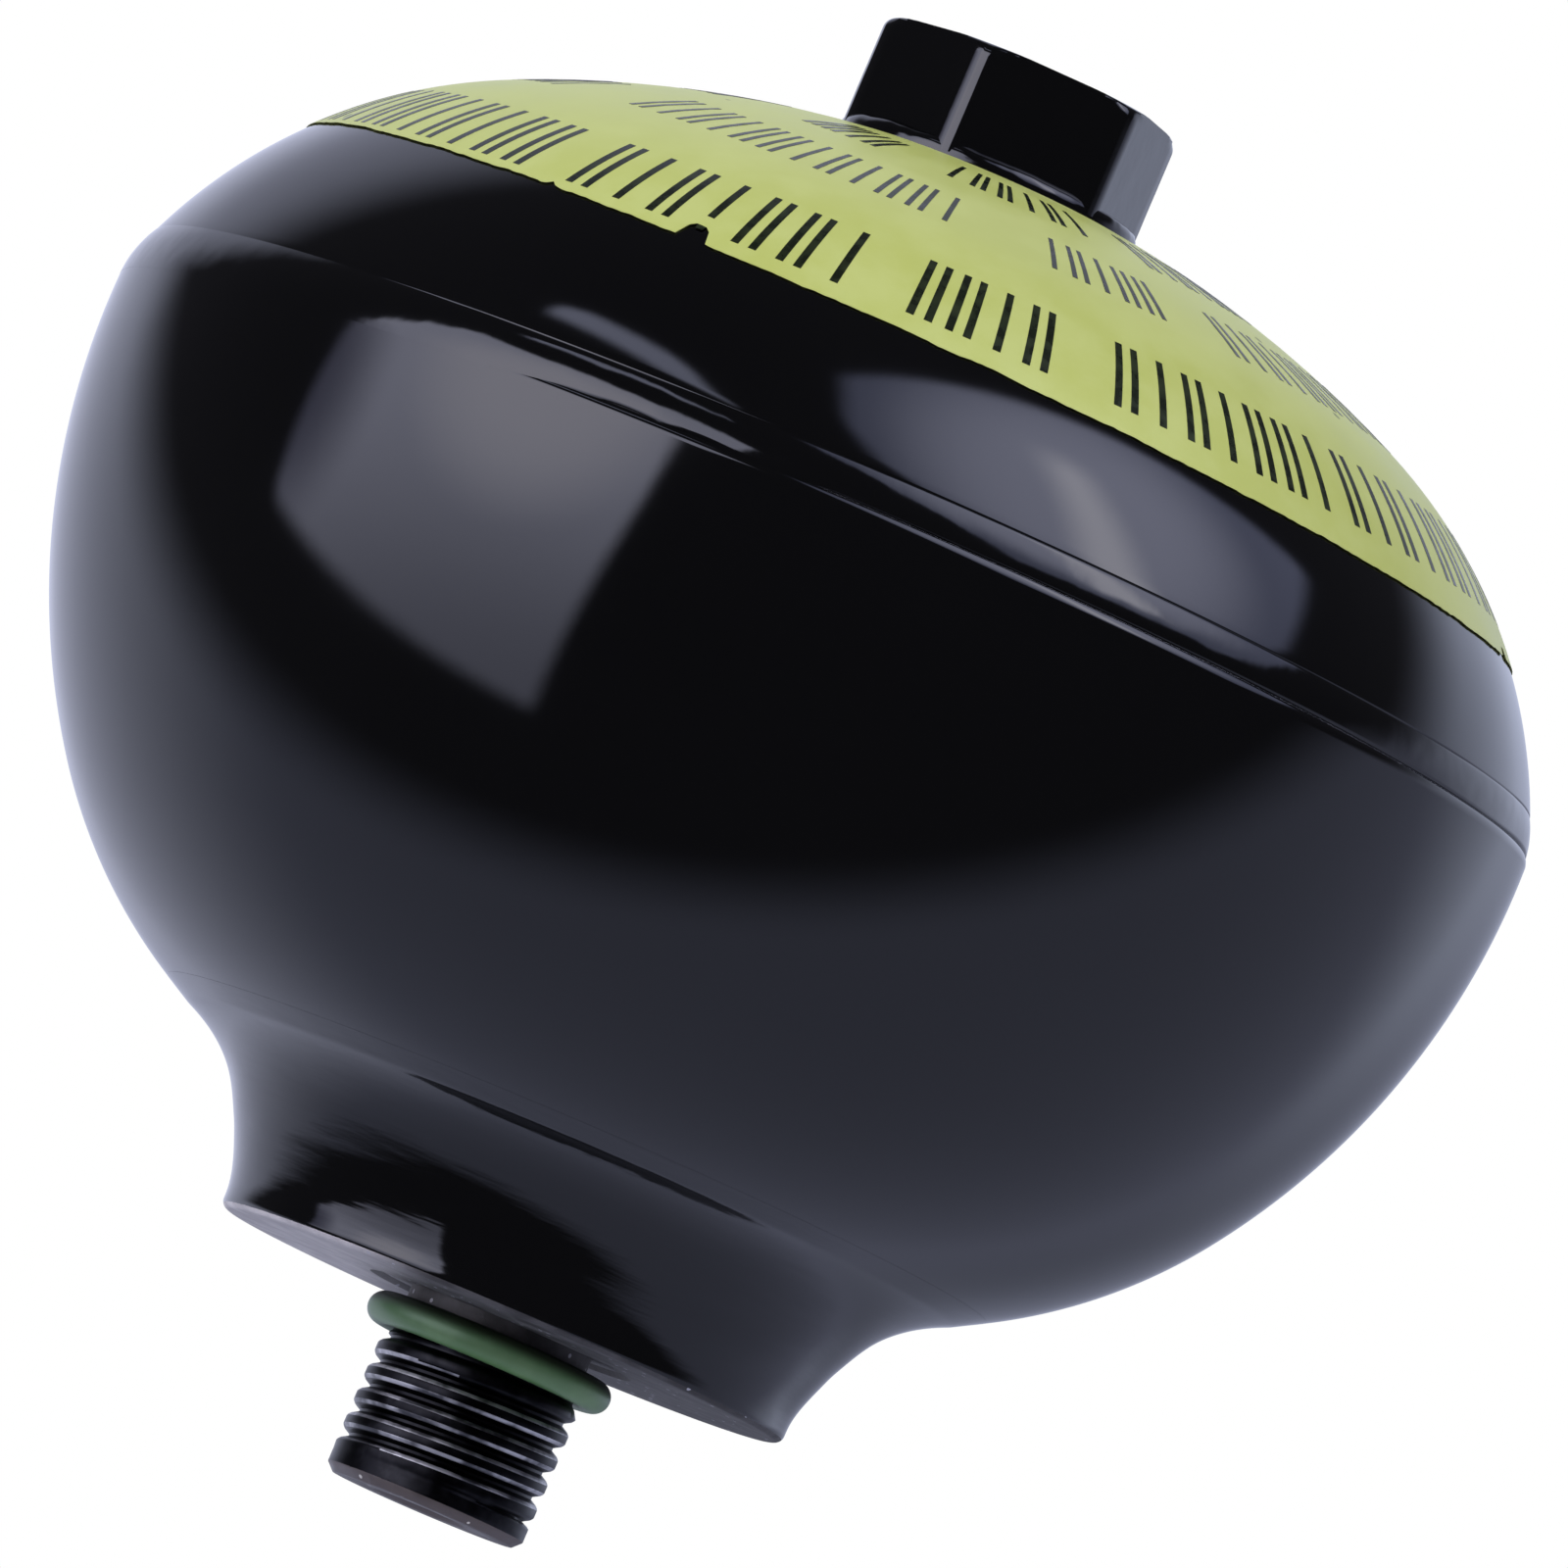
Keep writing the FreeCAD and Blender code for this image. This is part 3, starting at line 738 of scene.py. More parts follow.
def neck(paint, seat, bore_steel):
    """Flared neck with a rounded lower edge, seat face, relief and through bore."""
    edge_centre = (neck_radius - neck_edge_radius, neck_edge_radius)
    weld_seat = on_circle(bowl_knuckle_centre, bowl_knuckle_radius, weld_seat_angle)
    outline = Outline((undercut_radius - undercut_slack, relief_depth))
    outline.line((relief_radius - relief_depth, relief_depth), steps=3)
    outline.line((relief_radius, 0))
    outline.line((edge_centre[0], 0), steps=10)
    outline.arc(edge_centre, 90, step=10.0)
    outline.line((neck_radius, fillet_height))
    outline.arc(fillet_centre, weld_start_angle - 180, step=1.5)
    outline.line(weld_seat)
    outline.arc(bowl_knuckle_centre, -90 - weld_seat_angle, hidden_arc_step)
    outline.lines((fitting_spigot_radius, bowl_bottom), (fitting_spigot_radius, bowl_floor),
                  (port_bore_radius, bowl_floor), (port_bore_radius, neck_edge_radius),
                  (undercut_radius - undercut_slack, neck_edge_radius))
    mesh = outline.close().turn()
    for face in mesh.faces:
        centre = face.calc_center_median()
        inner = face_centre_radius(face) < relief_radius + margin
        if centre.z < relief_depth + fine_margin and (inner or face.normal.z < -0.5):
            face.material_index = 1
        elif face_centre_radius(face) < fitting_spigot_radius + margin:
            face.material_index = 2
    for vertex in mesh.verts:
        radius = reach_of(vertex)
        if vertex.co.z > neck_edge_radius / 2 and radius > neck_radius - neck_edge_radius:
            share = smooth_share(vertex.co.z, *flare_sag_ease)
            shift_radius(vertex, sag(around(vertex), vertex.co.z) * share + swell(vertex.co.z))
    finishes = [paint, seat, bore_steel]
    return make_piece("neck_turned", mesh, finishes, "shell", ["port_fitting"])


def sag(angle, height):
    """Slow unevenness of the flare under its paint."""
    return flare_sag * wander(angle, 3.0, height / flare_sag_length)


def swell(height):
    """Amount by which the flare stands out a little above the neck's edge."""
    fall = smooth_share(height, *swell_fall)
    return neck_swell * smooth_share(height, *swell_rise) * (1 - fall)


def fitting_weld(paint):
    """Weld between neck and bowl, smooth with the flare, with a narrow steeper toe above."""
    ease_angle = 180 - weld_toe_slope
    bowl_skin = bowl_knuckle_radius + fitting_weld_cover
    bowl_toe = Vector(on_circle(bowl_knuckle_centre, bowl_skin, -fitting_weld_slope))
    along_bead = Vector(on_circle((0, 0), 1, -fitting_weld_slope - 90))
    along_toe = fitting_toe_width * Vector(on_circle((0, 0), 1, -weld_toe_slope - 90))
    outward = Vector(on_circle((0, 0), 1, ease_angle))
    gap = Vector(fillet_centre) + outward * fillet_radius - bowl_toe - along_toe
    lift = gap.cross(along_bead) / outward.cross(along_bead)
    outline = Outline(on_circle(fillet_centre, fillet_radius, weld_start_angle))
    outline.arc(fillet_centre, ease_angle - weld_start_angle, step=0.8)
    for vertex in outline.mesh.verts:
        place = angle_of(fillet_centre, (vertex.co.x, vertex.co.z))
        share = smooth_share(place, weld_start_angle, ease_angle)
        vertex.co.x, vertex.co.z = on_circle(fillet_centre, fillet_radius - lift * share, place)
    outline.line(Vector(on_circle(fillet_centre, fillet_radius - lift, ease_angle)) - along_toe, steps=2)
    outline.line(bowl_toe, steps=8)
    bowl_seat = bowl_knuckle_radius - fitting_weld_sink
    outline.line(on_circle(bowl_knuckle_centre, bowl_seat, weld_seat_angle), steps=4)
    mesh = outline.close().turn(turn_steps * 2)
    for vertex in mesh.verts:
        place = angle_of(fillet_centre, (reach_of(vertex), vertex.co.z))
        share = smooth_share(place, fillet_end_angle, weld_start_angle)
        shift_radius(vertex, sag(around(vertex), vertex.co.z) * share + swell(vertex.co.z))
    return make_piece("fitting_weld_bead", mesh, [paint], "shell", ["fitting_weld"], 60.0)


# Stud with its thread

def thread_outline():
    """Thread form along the stud, one pitch after another: root, flank, rounded crest, flank."""
    root = thread_radius - thread_depth
    flank = thread_depth * math.tan(math.radians(thread_flank_angle))
    slope = thread_edge * math.tan(math.radians(thread_flank_angle))
    crest_end = thread_pitch - thread_root_flat / 2 - flank
    turns = math.ceil((thread_length + thread_end_chamfer) / thread_pitch) + 2
    height = stud_tip - thread_pitch
    outline = Outline((root, height))
    for turn in range(turns):
        foot = height + thread_root_flat / 2
        outline.line((root, foot))
        outline.line((thread_radius - thread_edge, foot + flank - slope), steps=2)
        outline.line((thread_radius - 0.3 * thread_edge, foot + flank + 0.2 * thread_edge))
        outline.line((thread_radius, foot + flank + 0.8 * thread_edge))
        outline.line((thread_radius, height + crest_end - 0.8 * thread_edge))
        outline.line((thread_radius - 0.3 * thread_edge, height + crest_end - 0.2 * thread_edge))
        outline.line((thread_radius - thread_edge, height + crest_end + slope))
        height += thread_pitch
        outline.line((root, height - thread_root_flat / 2), steps=2)
        outline.line((root, height))
    return outline


def boundary_ring(mesh, height):
    """Boundary edges of the mesh that lie at a height."""
    return [edge for edge in mesh.edges if edge.is_boundary
            and all(abs(vertex.co.z - height) < merge_distance for vertex in edge.verts)]


def cap_ring(mesh, height, points):
    """Closes the mesh at a height with rings of faces that lead to further points."""
    ring = boundary_ring(mesh, height)
    for radius, level in points:
        circle = bmesh.ops.create_circle(mesh, segments=turn_steps, radius=radius,
                                         matrix=Matrix.Translation((0, 0, level)))
        inner = {edge for vertex in circle["verts"] for edge in vertex.link_edges}
        bmesh.ops.bridge_loops(mesh, edges=ring + list(inner))
        ring = list(inner)
    return ring


def stud(thread, crest, end_face, seat):
    """Threaded stud: a true helix, chamfered at its end and run out into the undercut."""
    outline = thread_outline()
    mesh = outline.mesh
    bmesh.ops.spin(mesh, geom=mesh.edges[:], cent=(0, 0, 0), axis=(0, 0, 1), angle=full_turn,
                   steps=helix_steps, dvec=(0, 0, thread_pitch / helix_steps))
    bmesh.ops.remove_doubles(mesh, verts=mesh.verts, dist=2 * merge_distance)
    cut(mesh, thread_top, (0, 0, 1))
    cut(mesh, stud_tip, (0, 0, -1))
    cut(mesh, thread_bottom, (0, 0, 1), clear=False)
    end_radius = thread_radius - thread_end_chamfer
    band_top = thread_bottom + thread_end_band
    for vertex in mesh.verts:
        radius = reach_of(vertex)
        fill = 1 - smooth_share(vertex.co.z, band_top - thread_band_ease, band_top)
        shift_radius(vertex, fill * (thread_radius - thread_band_step - radius))
        share = (vertex.co.z - stud_tip) / thread_end_chamfer
        limit_radius(vertex, end_radius + thread_end_chamfer * min(1, max(0, share)))
        depth = (thread_top - vertex.co.z) / thread_runout
        limit_radius(vertex, undercut_radius + thread_runout * min(1, max(0, depth)))
    mouth = port_bore_radius + port_mouth_chamfer
    cap_ring(mesh, stud_tip, [(mouth, stud_tip), (port_bore_radius, stud_tip + port_mouth_chamfer),
                              (port_bore_radius, neck_edge_radius)])
    cap_ring(mesh, thread_top, [(undercut_radius, thread_top + undercut_slack),
                                (undercut_radius, neck_edge_radius)])
    bmesh.ops.bridge_loops(mesh, edges=boundary_ring(mesh, neck_edge_radius))
    bmesh.ops.recalc_face_normals(mesh, faces=mesh.faces)
    crests_start = band_top + crest_start
    crests_end = thread_top - thread_runout - 0.5 * thread_pitch
    for face in mesh.faces:
        height = face.calc_center_median().z
        inside_crest = thread_radius - face_centre_radius(face)
        if height < thread_bottom - fine_margin:
            face.material_index = 2
        elif height > thread_top + 3 * margin:
            face.material_index = 3
        # Crest edges take the bright finish: worn steel with painted glints
        elif crests_start < height < crests_end and 0.02 * thread_edge < inside_crest < 0.8 * thread_edge:
            face.material_index = 1
    finishes = [thread, crest, end_face, seat]
    return make_piece("stud_threaded", mesh, finishes, "shell", ["port_fitting"], 50.0)


def seal_ring(rubber):
    """Sealing ring, stretched on the undercut and a little out of round."""
    centre = (undercut_radius + ring_section / 2, ring_section / 2 - undercut_length)
    outline = Outline((centre[0] + ring_section / 2, centre[1]))
    outline.arc(centre, 350, step=10.0)
    mesh = outline.close().turn()
    for vertex in mesh.verts:
        shift_radius(vertex, ring_unevenness * wander(around(vertex), 4.0, 2.0))
    return make_piece("seal_ring", mesh, [rubber], "shell", ["o_ring"])


# Charging boss

def hex_limit(vertex):
    """Moves a vertex in to the nearest flat of the hexagon, if it stands outside it."""
    sector = full_turn / 6
    corner = math.radians(hex_turn - 90)
    off_flat = (around(vertex) - corner) % sector - sector / 2
    limit_radius(vertex, hex_across_flats / 2 / math.cos(off_flat))


def spin_hexagon(outline):
    """Turns an outline by flats and corners, so that mesh edges stand where they meet."""
    mesh = outline.mesh
    sector = full_turn / 6
    corner_half = sector / 2 - math.acos(hex_across_flats / 2 / hex_corner_radius)
    bmesh.ops.rotate(mesh, verts=mesh.verts, cent=(0, 0, 0),
                     matrix=Matrix.Rotation(math.radians(hex_turn - 90) + corner_half, 3, "Z"))
    ring = mesh.verts[:] + mesh.edges[:]
    for side in range(6):
        for angle, steps in ((sector - 2 * corner_half, hex_flat_steps),
                             (2 * corner_half, hex_corner_steps)):
            turned = bmesh.ops.spin(mesh, geom=ring, cent=(0, 0, 0), axis=(0, 0, 1),
                                    angle=angle, steps=steps)
            ring = turned["geom_last"]
    bmesh.ops.remove_doubles(mesh, verts=mesh.verts, dist=merge_distance)
    return mesh


def hex_boss(paint, bore_steel):
    """Hexagon bar with turned corners and a rounded top, soft painted edges and a bore."""
    round_centre = (hex_corner_radius - hex_top_round, hex_top - hex_top_round)
    foot = circle_rise(crown_centre, crown_radius, hex_corner_radius)
    hole_top = circle_rise(crown_centre, crown_radius, charge_hole_radius)
    chamfer = hex_bore_chamfer
    hex_core = hex_across_flats / 2 - hex_top_round
    outline = Outline((plug_radius, bore_bottom))
    outline.lines((plug_radius, hex_top - chamfer), (plug_radius + chamfer, hex_top))
    outline.line((round_centre[0], hex_top), steps=4)
    outline.arc(round_centre, -90, step=9.0)
    outline.line((hex_corner_radius, foot), steps=8)
    outline.line((charge_hole_radius, hole_top), steps=3)
    outline.lines((charge_hole_radius, bore_bottom - charge_seat_radius + charge_hole_radius),
                  (charge_seat_radius, bore_bottom))
    mesh = spin_hexagon(outline.close())
    bmesh.ops.recalc_face_normals(mesh, faces=mesh.faces)
    for vertex in mesh.verts:
        hex_limit(vertex)
    corners = [edge for edge in mesh.edges
               if len(edge.link_faces) == 2 and edge.calc_face_angle() > math.radians(12)
               and abs(edge.verts[0].co.z - edge.verts[1].co.z) > 3 * margin
               and min(reach_of(vertex) for vertex in edge.verts) > hex_core]
    bmesh.ops.bevel(mesh, geom=corners, affect="EDGES", offset=hex_edge_round, segments=3,
                    profile=0.5, material=-1)
    for face in mesh.faces:
        face.material_index = 1 if face_centre_radius(face) < plug_radius + 0.5 * chamfer else 0
    for vertex in mesh.verts:
        wave = wander(around(vertex), 6.0, vertex.co.z / (1.5 * MM))
        shift_radius(vertex, hex_unevenness * wave)
    finishes = [paint, bore_steel]
    return make_piece("hex_boss_painted", mesh, finishes, "shell", ["hex_boss"], 30.0)


def boss_weld(paint):
    """Low uneven weld round the foot of the hexagon, thicker along its flats."""
    outer = hex_corner_radius + boss_weld_lip
    inner = hex_across_flats / 2 - boss_weld_depth
    outer_foot = circle_rise(crown_centre, crown_radius, outer)
    inner_foot = circle_rise(crown_centre, crown_radius, inner)
    outline = Outline((outer, outer_foot - boss_weld_sink))
    for inset, rise, steps in boss_weld_face:
        outline.line((outer - inset, outer_foot + rise), steps)
    outline.lines((inner, inner_foot + boss_weld_height), (inner, inner_foot - boss_weld_sink))
    mesh = outline.close().turn(weld_steps)
    for vertex in mesh.verts:
        angle = around(vertex)
        radius = reach_of(vertex)
        if vertex.co.z > outer_foot + 3 * margin and radius > inner + margin:
            vertex.co.z += (boss_weld_wave * wander(angle, 5.0, 0.4)
                            + boss_weld_fine_wave * wander(angle, 11.0, 2.2))
            shift_radius(vertex, 0.015 * MM * wander(angle, 11.0, 6.1) - boss_weld_fine_wave)
    return make_piece("boss_weld_bead", mesh, [paint], "shell", ["boss_weld"], 60.0)


def charge_plug(steel):
    """Screw plug with a hexagon socket and a chamfered rim."""
    top = bore_bottom + plug_length
    socket_reach = plug_socket_across_flats / 2 / math.cos(math.pi / 6)
    rim = plug_radius - plug_chamfer
    mesh = bmesh.new()
    ring = bmesh.ops.create_circle(mesh, segments=6, radius=socket_reach, cap_ends=True,
                                   matrix=Matrix.Translation((0, 0, top - plug_socket_depth)))
    floor = ring["verts"][0].link_faces[0]
    walls = bmesh.ops.extrude_face_region(mesh, geom=list(floor.edges))
    upper = [item for item in walls["geom"] if isinstance(item, bmesh.types.BMVert)]
    bmesh.ops.translate(mesh, verts=upper, vec=(0, 0, plug_socket_depth))
    cap_ring(mesh, top, [(rim, top), (plug_radius, top - plug_chamfer), (plug_radius, bore_bottom),
                         (charge_seat_radius, bore_bottom)])
    bmesh.ops.holes_fill(mesh, edges=boundary_ring(mesh, bore_bottom), sides=0)
    bmesh.ops.recalc_face_normals(mesh, faces=mesh.faces)
    return make_piece("charge_plug_screw", mesh, [steel], "shell", ["charge_plug"])


# Diaphragm

def diaphragm(rubber):
    """Moulded membrane: thick bead in its pocket, thin wall along the bowl, raised middle."""
    outside = lower_wall + rubber_clearance
    inside = outside + diaphragm_thickness
    outer_ball = ball_radius - outside
    inner_ball = ball_radius - inside
    outer_knuckle = bowl_knuckle_radius - outside
    inner_knuckle = bowl_knuckle_radius - inside
    bead_bottom = pocket_bottom + rubber_clearance
    bead_top = flange_bottom - rubber_clearance
    bead_outer = bead_bore_radius - rubber_clearance
    bead_inner = skirt_outer_radius + rubber_clearance
    web_top = bead_bottom + diaphragm_thickness - rubber_clearance
    high = bowl_floor + rubber_clearance + button_plate + rubber_clearance
    hole = button_neck_radius + rubber_clearance
    ramp_head = button_radius + rubber_clearance
    outer_lip = (circle_reach(ball_centre, outer_ball, bead_bottom), bead_bottom)
    inner_lip = (circle_reach(ball_centre, inner_ball, web_top), web_top)
    inner_foot = (bowl_knuckle_centre[0], bowl_knuckle_centre[1] - inner_knuckle)
    outline = Outline((hole, high))
    outline.line((ramp_head, high), steps=3)
    outline.line(on_circle(bowl_knuckle_centre, outer_knuckle, -90), steps=3)
    outline.arc(bowl_knuckle_centre, 90 - bowl_knuckle_angle)
    outline.arc(ball_centre, bowl_knuckle_angle + angle_of(ball_centre, outer_lip))
    outline.line((bead_outer, bead_bottom))
    outline.line((bead_outer, bead_top), steps=3)
    outline.line((bead_inner, bead_top), steps=2)
    outline.line((bead_inner, web_top), steps=2)
    outline.line(inner_lip)
    outline.arc(ball_centre, -bowl_knuckle_angle - angle_of(ball_centre, inner_lip))
    outline.arc(bowl_knuckle_centre, bowl_knuckle_angle - 90)
    inner_ramp_head = inner_foot[0] - (bowl_knuckle_centre[0] - ramp_head)
    outline.line((inner_ramp_head, high + diaphragm_thickness), steps=3)
    outline.line((hole, high + diaphragm_thickness), steps=3)
    mesh = outline.close().turn(180)
    piece = make_piece("diaphragm_moulded", mesh, [rubber], "shell",
                       ["diaphragm"], 40.0)
    piece.parent = None
    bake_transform(piece)
    return piece


# Label film and its print

def dome_angle_at_height(height):
    """Angle about the dome's own arc centre at a height, and which arc it is on."""
    joint_height = on_circle(crown_centre, crown_radius, crown_angle)[1]
    if height < joint_height:
        sine = (height - dome_knuckle_centre[1]) / dome_knuckle_radius
        return dome_knuckle_centre, dome_knuckle_radius, math.degrees(math.asin(sine))
    sine = (height - crown_centre[1]) / crown_radius
    return crown_centre, crown_radius, math.degrees(math.asin(sine))


def label_edge_height(x):
    """Height of the film's lower edge, a little out of level across the dome."""
    return apex_height - film_edge_drop - x * math.tan(math.radians(film_edge_tilt))


def label(film):
    """Thin film round the dome, its lower edge cut by hand, slightly ragged, with small tears."""
    outer = film_glue + film_thickness
    start_height = label_edge_height(ball_radius) - film_trim
    centre, radius, start_angle = dome_angle_at_height(start_height)
    top = circle_rise(crown_centre, crown_radius + outer, film_inner_radius)
    top_angle = angle_of(crown_centre, (film_inner_radius, top))
    outline = Outline(on_circle(centre, radius + film_glue, start_angle))
    outline.line(on_circle(centre, radius + outer, start_angle))
    outline.arc(centre, crown_angle - start_angle, step=1.5)
    outline.arc(crown_centre, top_angle - crown_angle)
    outline.line(on_circle(crown_centre, crown_radius + film_glue, top_angle))
    outline.arc(crown_centre, crown_angle - top_angle)
    outline.arc(centre, start_angle - crown_angle, step=1.5)
    bmesh.ops.remove_doubles(outline.mesh, verts=outline.mesh.verts, dist=merge_distance)
    mesh = outline.turn(weld_steps)
    tilt = math.radians(film_edge_tilt)
    cut(mesh, label_edge_height(0), (-math.sin(tilt), 0, -math.cos(tilt)))
    rims = [edge for edge in mesh.edges if edge.is_boundary]
    bmesh.ops.bridge_loops(mesh, edges=rims)
    for vertex in mesh.verts:
        angle = around(vertex)
        above = vertex.co.z - label_edge_height(vertex.co.x)
        near = 1 - min(1, above / film_give)
        rough = film_fine_wave * wander(angle, 60.0, 4.0) + film_wave * wander(angle, 13.0, 8.0)
        climb_dome(vertex, near * (rough + tear_height(math.degrees(angle) + 90)))
    bmesh.ops.recalc_face_normals(mesh, faces=mesh.faces)
    return make_piece("label_film_band", mesh, [film], "shell", ["label_band"], 60.0)


def tear_height(azimuth):
    """Height that the film's edge is torn up by, at an angle from the camera's side."""
    height = 0
    for place, half_width, depth in film_tears:
        off = abs((azimuth - place + 180) % 360 - 180)
        height = max(height, depth * (1 - smooth_share(off, 0.6 * half_width, 1.2 * half_width)))
    return height


def climb_dome(vertex, rise):
    """Moves a vertex up or down along the dome's slope."""
    radius = reach_of(vertex)
    slope = (radius - dome_knuckle_centre[0]) / (vertex.co.z - dome_knuckle_centre[1])
    vertex.co.z += rise
    shift_radius(vertex, -rise / slope)


# Rows of print: heights of the strokes' feet and heads, stroke pitch, stroke width, and groups
# of strokes by their angles from the camera's side, anticlockwise seen from above
print_rows = [
    (58.2 * MM, 61.8 * MM, 2.45 * MM, 0.46 * MM,
     [(-80, -43), (-35, -9), (-1, 10), (19, 42), (47, 92), (102, 124), (133, 171), (180, 214),
      (224, 262)]),
    (64.6 * MM, 66.5 * MM, 1.75 * MM, 0.30 * MM,
     [(-46, -3), (11, 25), (38, 80), (92, 118), (130, 176), (190, 222), (234, 296)]),
    (67.9 * MM, 69.2 * MM, 1.35 * MM, 0.30 * MM,
     [(-34, -22), (-6.5, 19), (34, 62), (118, 150), (196, 236), (262, 300)]),
]


def stroke_angles(group, pitch, radius):
    """Angles of a group's strokes: evenly spaced places, each with one stroke or a close pair."""
    start, end = group
    count = max(2, round(math.radians(end - start) * radius / pitch) + 1)
    half_gap = math.degrees(stroke_pair_gap / 2 * pitch / radius)
    angles = []
    for place in range(count):
        middle = start + (end - start) * place / (count - 1)
        angles += [middle] if (place * 3 + count) % 5 < 2 else [middle - half_gap, middle + half_gap]
    return angles


def print_stroke(mesh, low, high, width, degrees):
    """One upright stroke: a thin strip along the dome's arc, closed at its two sides."""
    centre, radius, low_angle = dome_angle_at_height(low)
    high_angle = math.degrees(math.asin((high - centre[1]) / radius))
    surface = film_glue + film_thickness
    outline = Outline(on_circle(centre, radius + surface - ink_thickness, low_angle))
    outline.line(on_circle(centre, radius + surface + ink_thickness, low_angle))
    outline.arc(centre, high_angle - low_angle, step=1.5)
    outline.line(on_circle(centre, radius + surface - ink_thickness, high_angle))
    outline.arc(centre, low_angle - high_angle, step=1.5)
    strip = outline.mesh
    bmesh.ops.remove_doubles(strip, verts=strip.verts, dist=merge_distance)
    reach = circle_reach(centre, radius, (low + high) / 2)
    spread = width / reach
    bmesh.ops.rotate(strip, verts=strip.verts, cent=(0, 0, 0),
                     matrix=Matrix.Rotation(math.radians(degrees - 90) - spread / 2, 3, "Z"))
    bmesh.ops.spin(strip, geom=strip.edges[:], cent=(0, 0, 0), axis=(0, 0, 1), angle=spread, steps=2)
    bmesh.ops.holes_fill(strip, edges=[edge for edge in strip.edges if edge.is_boundary], sides=0)
    bmesh.ops.recalc_face_normals(strip, faces=strip.faces)
    loose = bpy.data.meshes.new("stroke")
    strip.to_mesh(loose)
    strip.free()
    mesh.from_mesh(loose)
    bpy.data.meshes.remove(loose)


def label_print(ink):
    """Rows of plain upright strokes round the film, in groups."""
    mesh = bmesh.new()
    for low, high, pitch, width, groups in print_rows:
        centre, radius, low_angle = dome_angle_at_height(low)
        reach = circle_reach(centre, radius, (low + high) / 2)
        for group in groups:
            for degrees in stroke_angles(group, pitch, reach):
                print_stroke(mesh, low, high, width, degrees)
    return make_piece("label_print", mesh, [ink], "shell")


# Studio: camera, lamps, floor and the light that the world gives
camera_aim = Vector((2.72 * MM, 0, 34.5 * MM))
camera_place = Vector((0, -1255.6 * MM, -62.7 * MM))
camera_frame_width = 88.72 * MM
camera_lean = 23.05
part_middle = Vector((0, 0, 35 * MM))
lamp_distance = 1.0
lamp_size = 0.7
world_level = 0.55
room_radius = 6.0
floor_half_width = 3.0
floor_drop = 75 * MM
floor_fade_start = 0.4
floor_fade_end = 1.8


def direction(azimuth, elevation):
    """Unit vector: azimuth 0 points at the camera's side and 90 to the right, in degrees."""
    turn = math.radians(azimuth)
    rise = math.radians(elevation)
    return Vector((math.sin(turn) * math.cos(rise), -math.cos(turn) * math.cos(rise), math.sin(rise)))


# Corners of what the gloss paint mirrors, as (azimuth, elevation)
window_left = [(-91, -12), (-38, -34), (-28, 2), (-27, 30), (-46, 35), (-74, 35), (-86, 12)]
window_left_corner = [(-40, 13), (-24, 13), (-17, 30), (-40, 33)]
window_left_high = [(-72, 47), (-27, 47), (-26, 51), (-44, 53), (-56, 55), (-66, 53), (-73, 49)]
window_right_hot = [(44, 36), (57, 36), (58, 66), (46, 67)]
window_right = [(28, 28), (70, 28), (92, 41), (111, 49), (105, 60), (93, 69), (53, 79), (-17, 68),
                (-8, 57), (12, 44)]
room_centre = Vector((-0.314, -0.636, 0.705)).normalized()

# Round patches in it: azimuth, elevation, outer and inner reach in degrees, colour
dark_patches = [(-160, 28, 36, 16, (0.62, 0.65, 0.84))]
# The last table patch is the part's own shadow on the table, painted into what gloss mirrors
table_patches = [(-148, -2, 62, 12, (0.78, 0.82, 1.05)), (150, 16, 40, 8, (0.78, 0.85, 1.10)),
                 (165, -14, 30, 6, (0.27, 0.29, 0.39))]
left_patches = [(-50, 14, 26, 4, (3.7, 3.65, 4.3)), (-96, 2, 22, 6, (0.55, 0.56, 0.85))]
right_patches = [(49, 57, 29, 6, (2.6, 2.7, 3.6))]


def along(material, place, axis):
    """Length of a direction along an axis."""
    return node(material, "VectorMath", {0: place, 1: axis}, operation="DOT_PRODUCT").outputs["Value"]


def window_mask(material, place, corners, softness):
    """Mask that is 1 inside a window given by its corners, with soft borders."""
    points = [direction(*corner) for corner in corners]
    middle = sum(points, Vector()).normalized()
    mask = None
    for start, end in zip(points, points[1:] + points[:1]):
        border = start.cross(end).normalized()
        if border.dot(middle) < 0:
            border.negate()
        side = ramp(material, along(material, place, border), -softness, softness)
        mask = side if mask is None else math_node(material, "MULTIPLY", mask, side)
    return mask


def patched(material, place, light, patches):
    """Colour with round patches of other colours in it, which fade in towards their middles."""
    for azimuth, elevation, outer, inner, tone in patches:
        cosine = along(material, place, direction(azimuth, elevation))
        light = mottled(material, cosine, math.cos(math.radians(outer)), math.cos(math.radians(inner)),
                        light, colour(*tone))
    return light


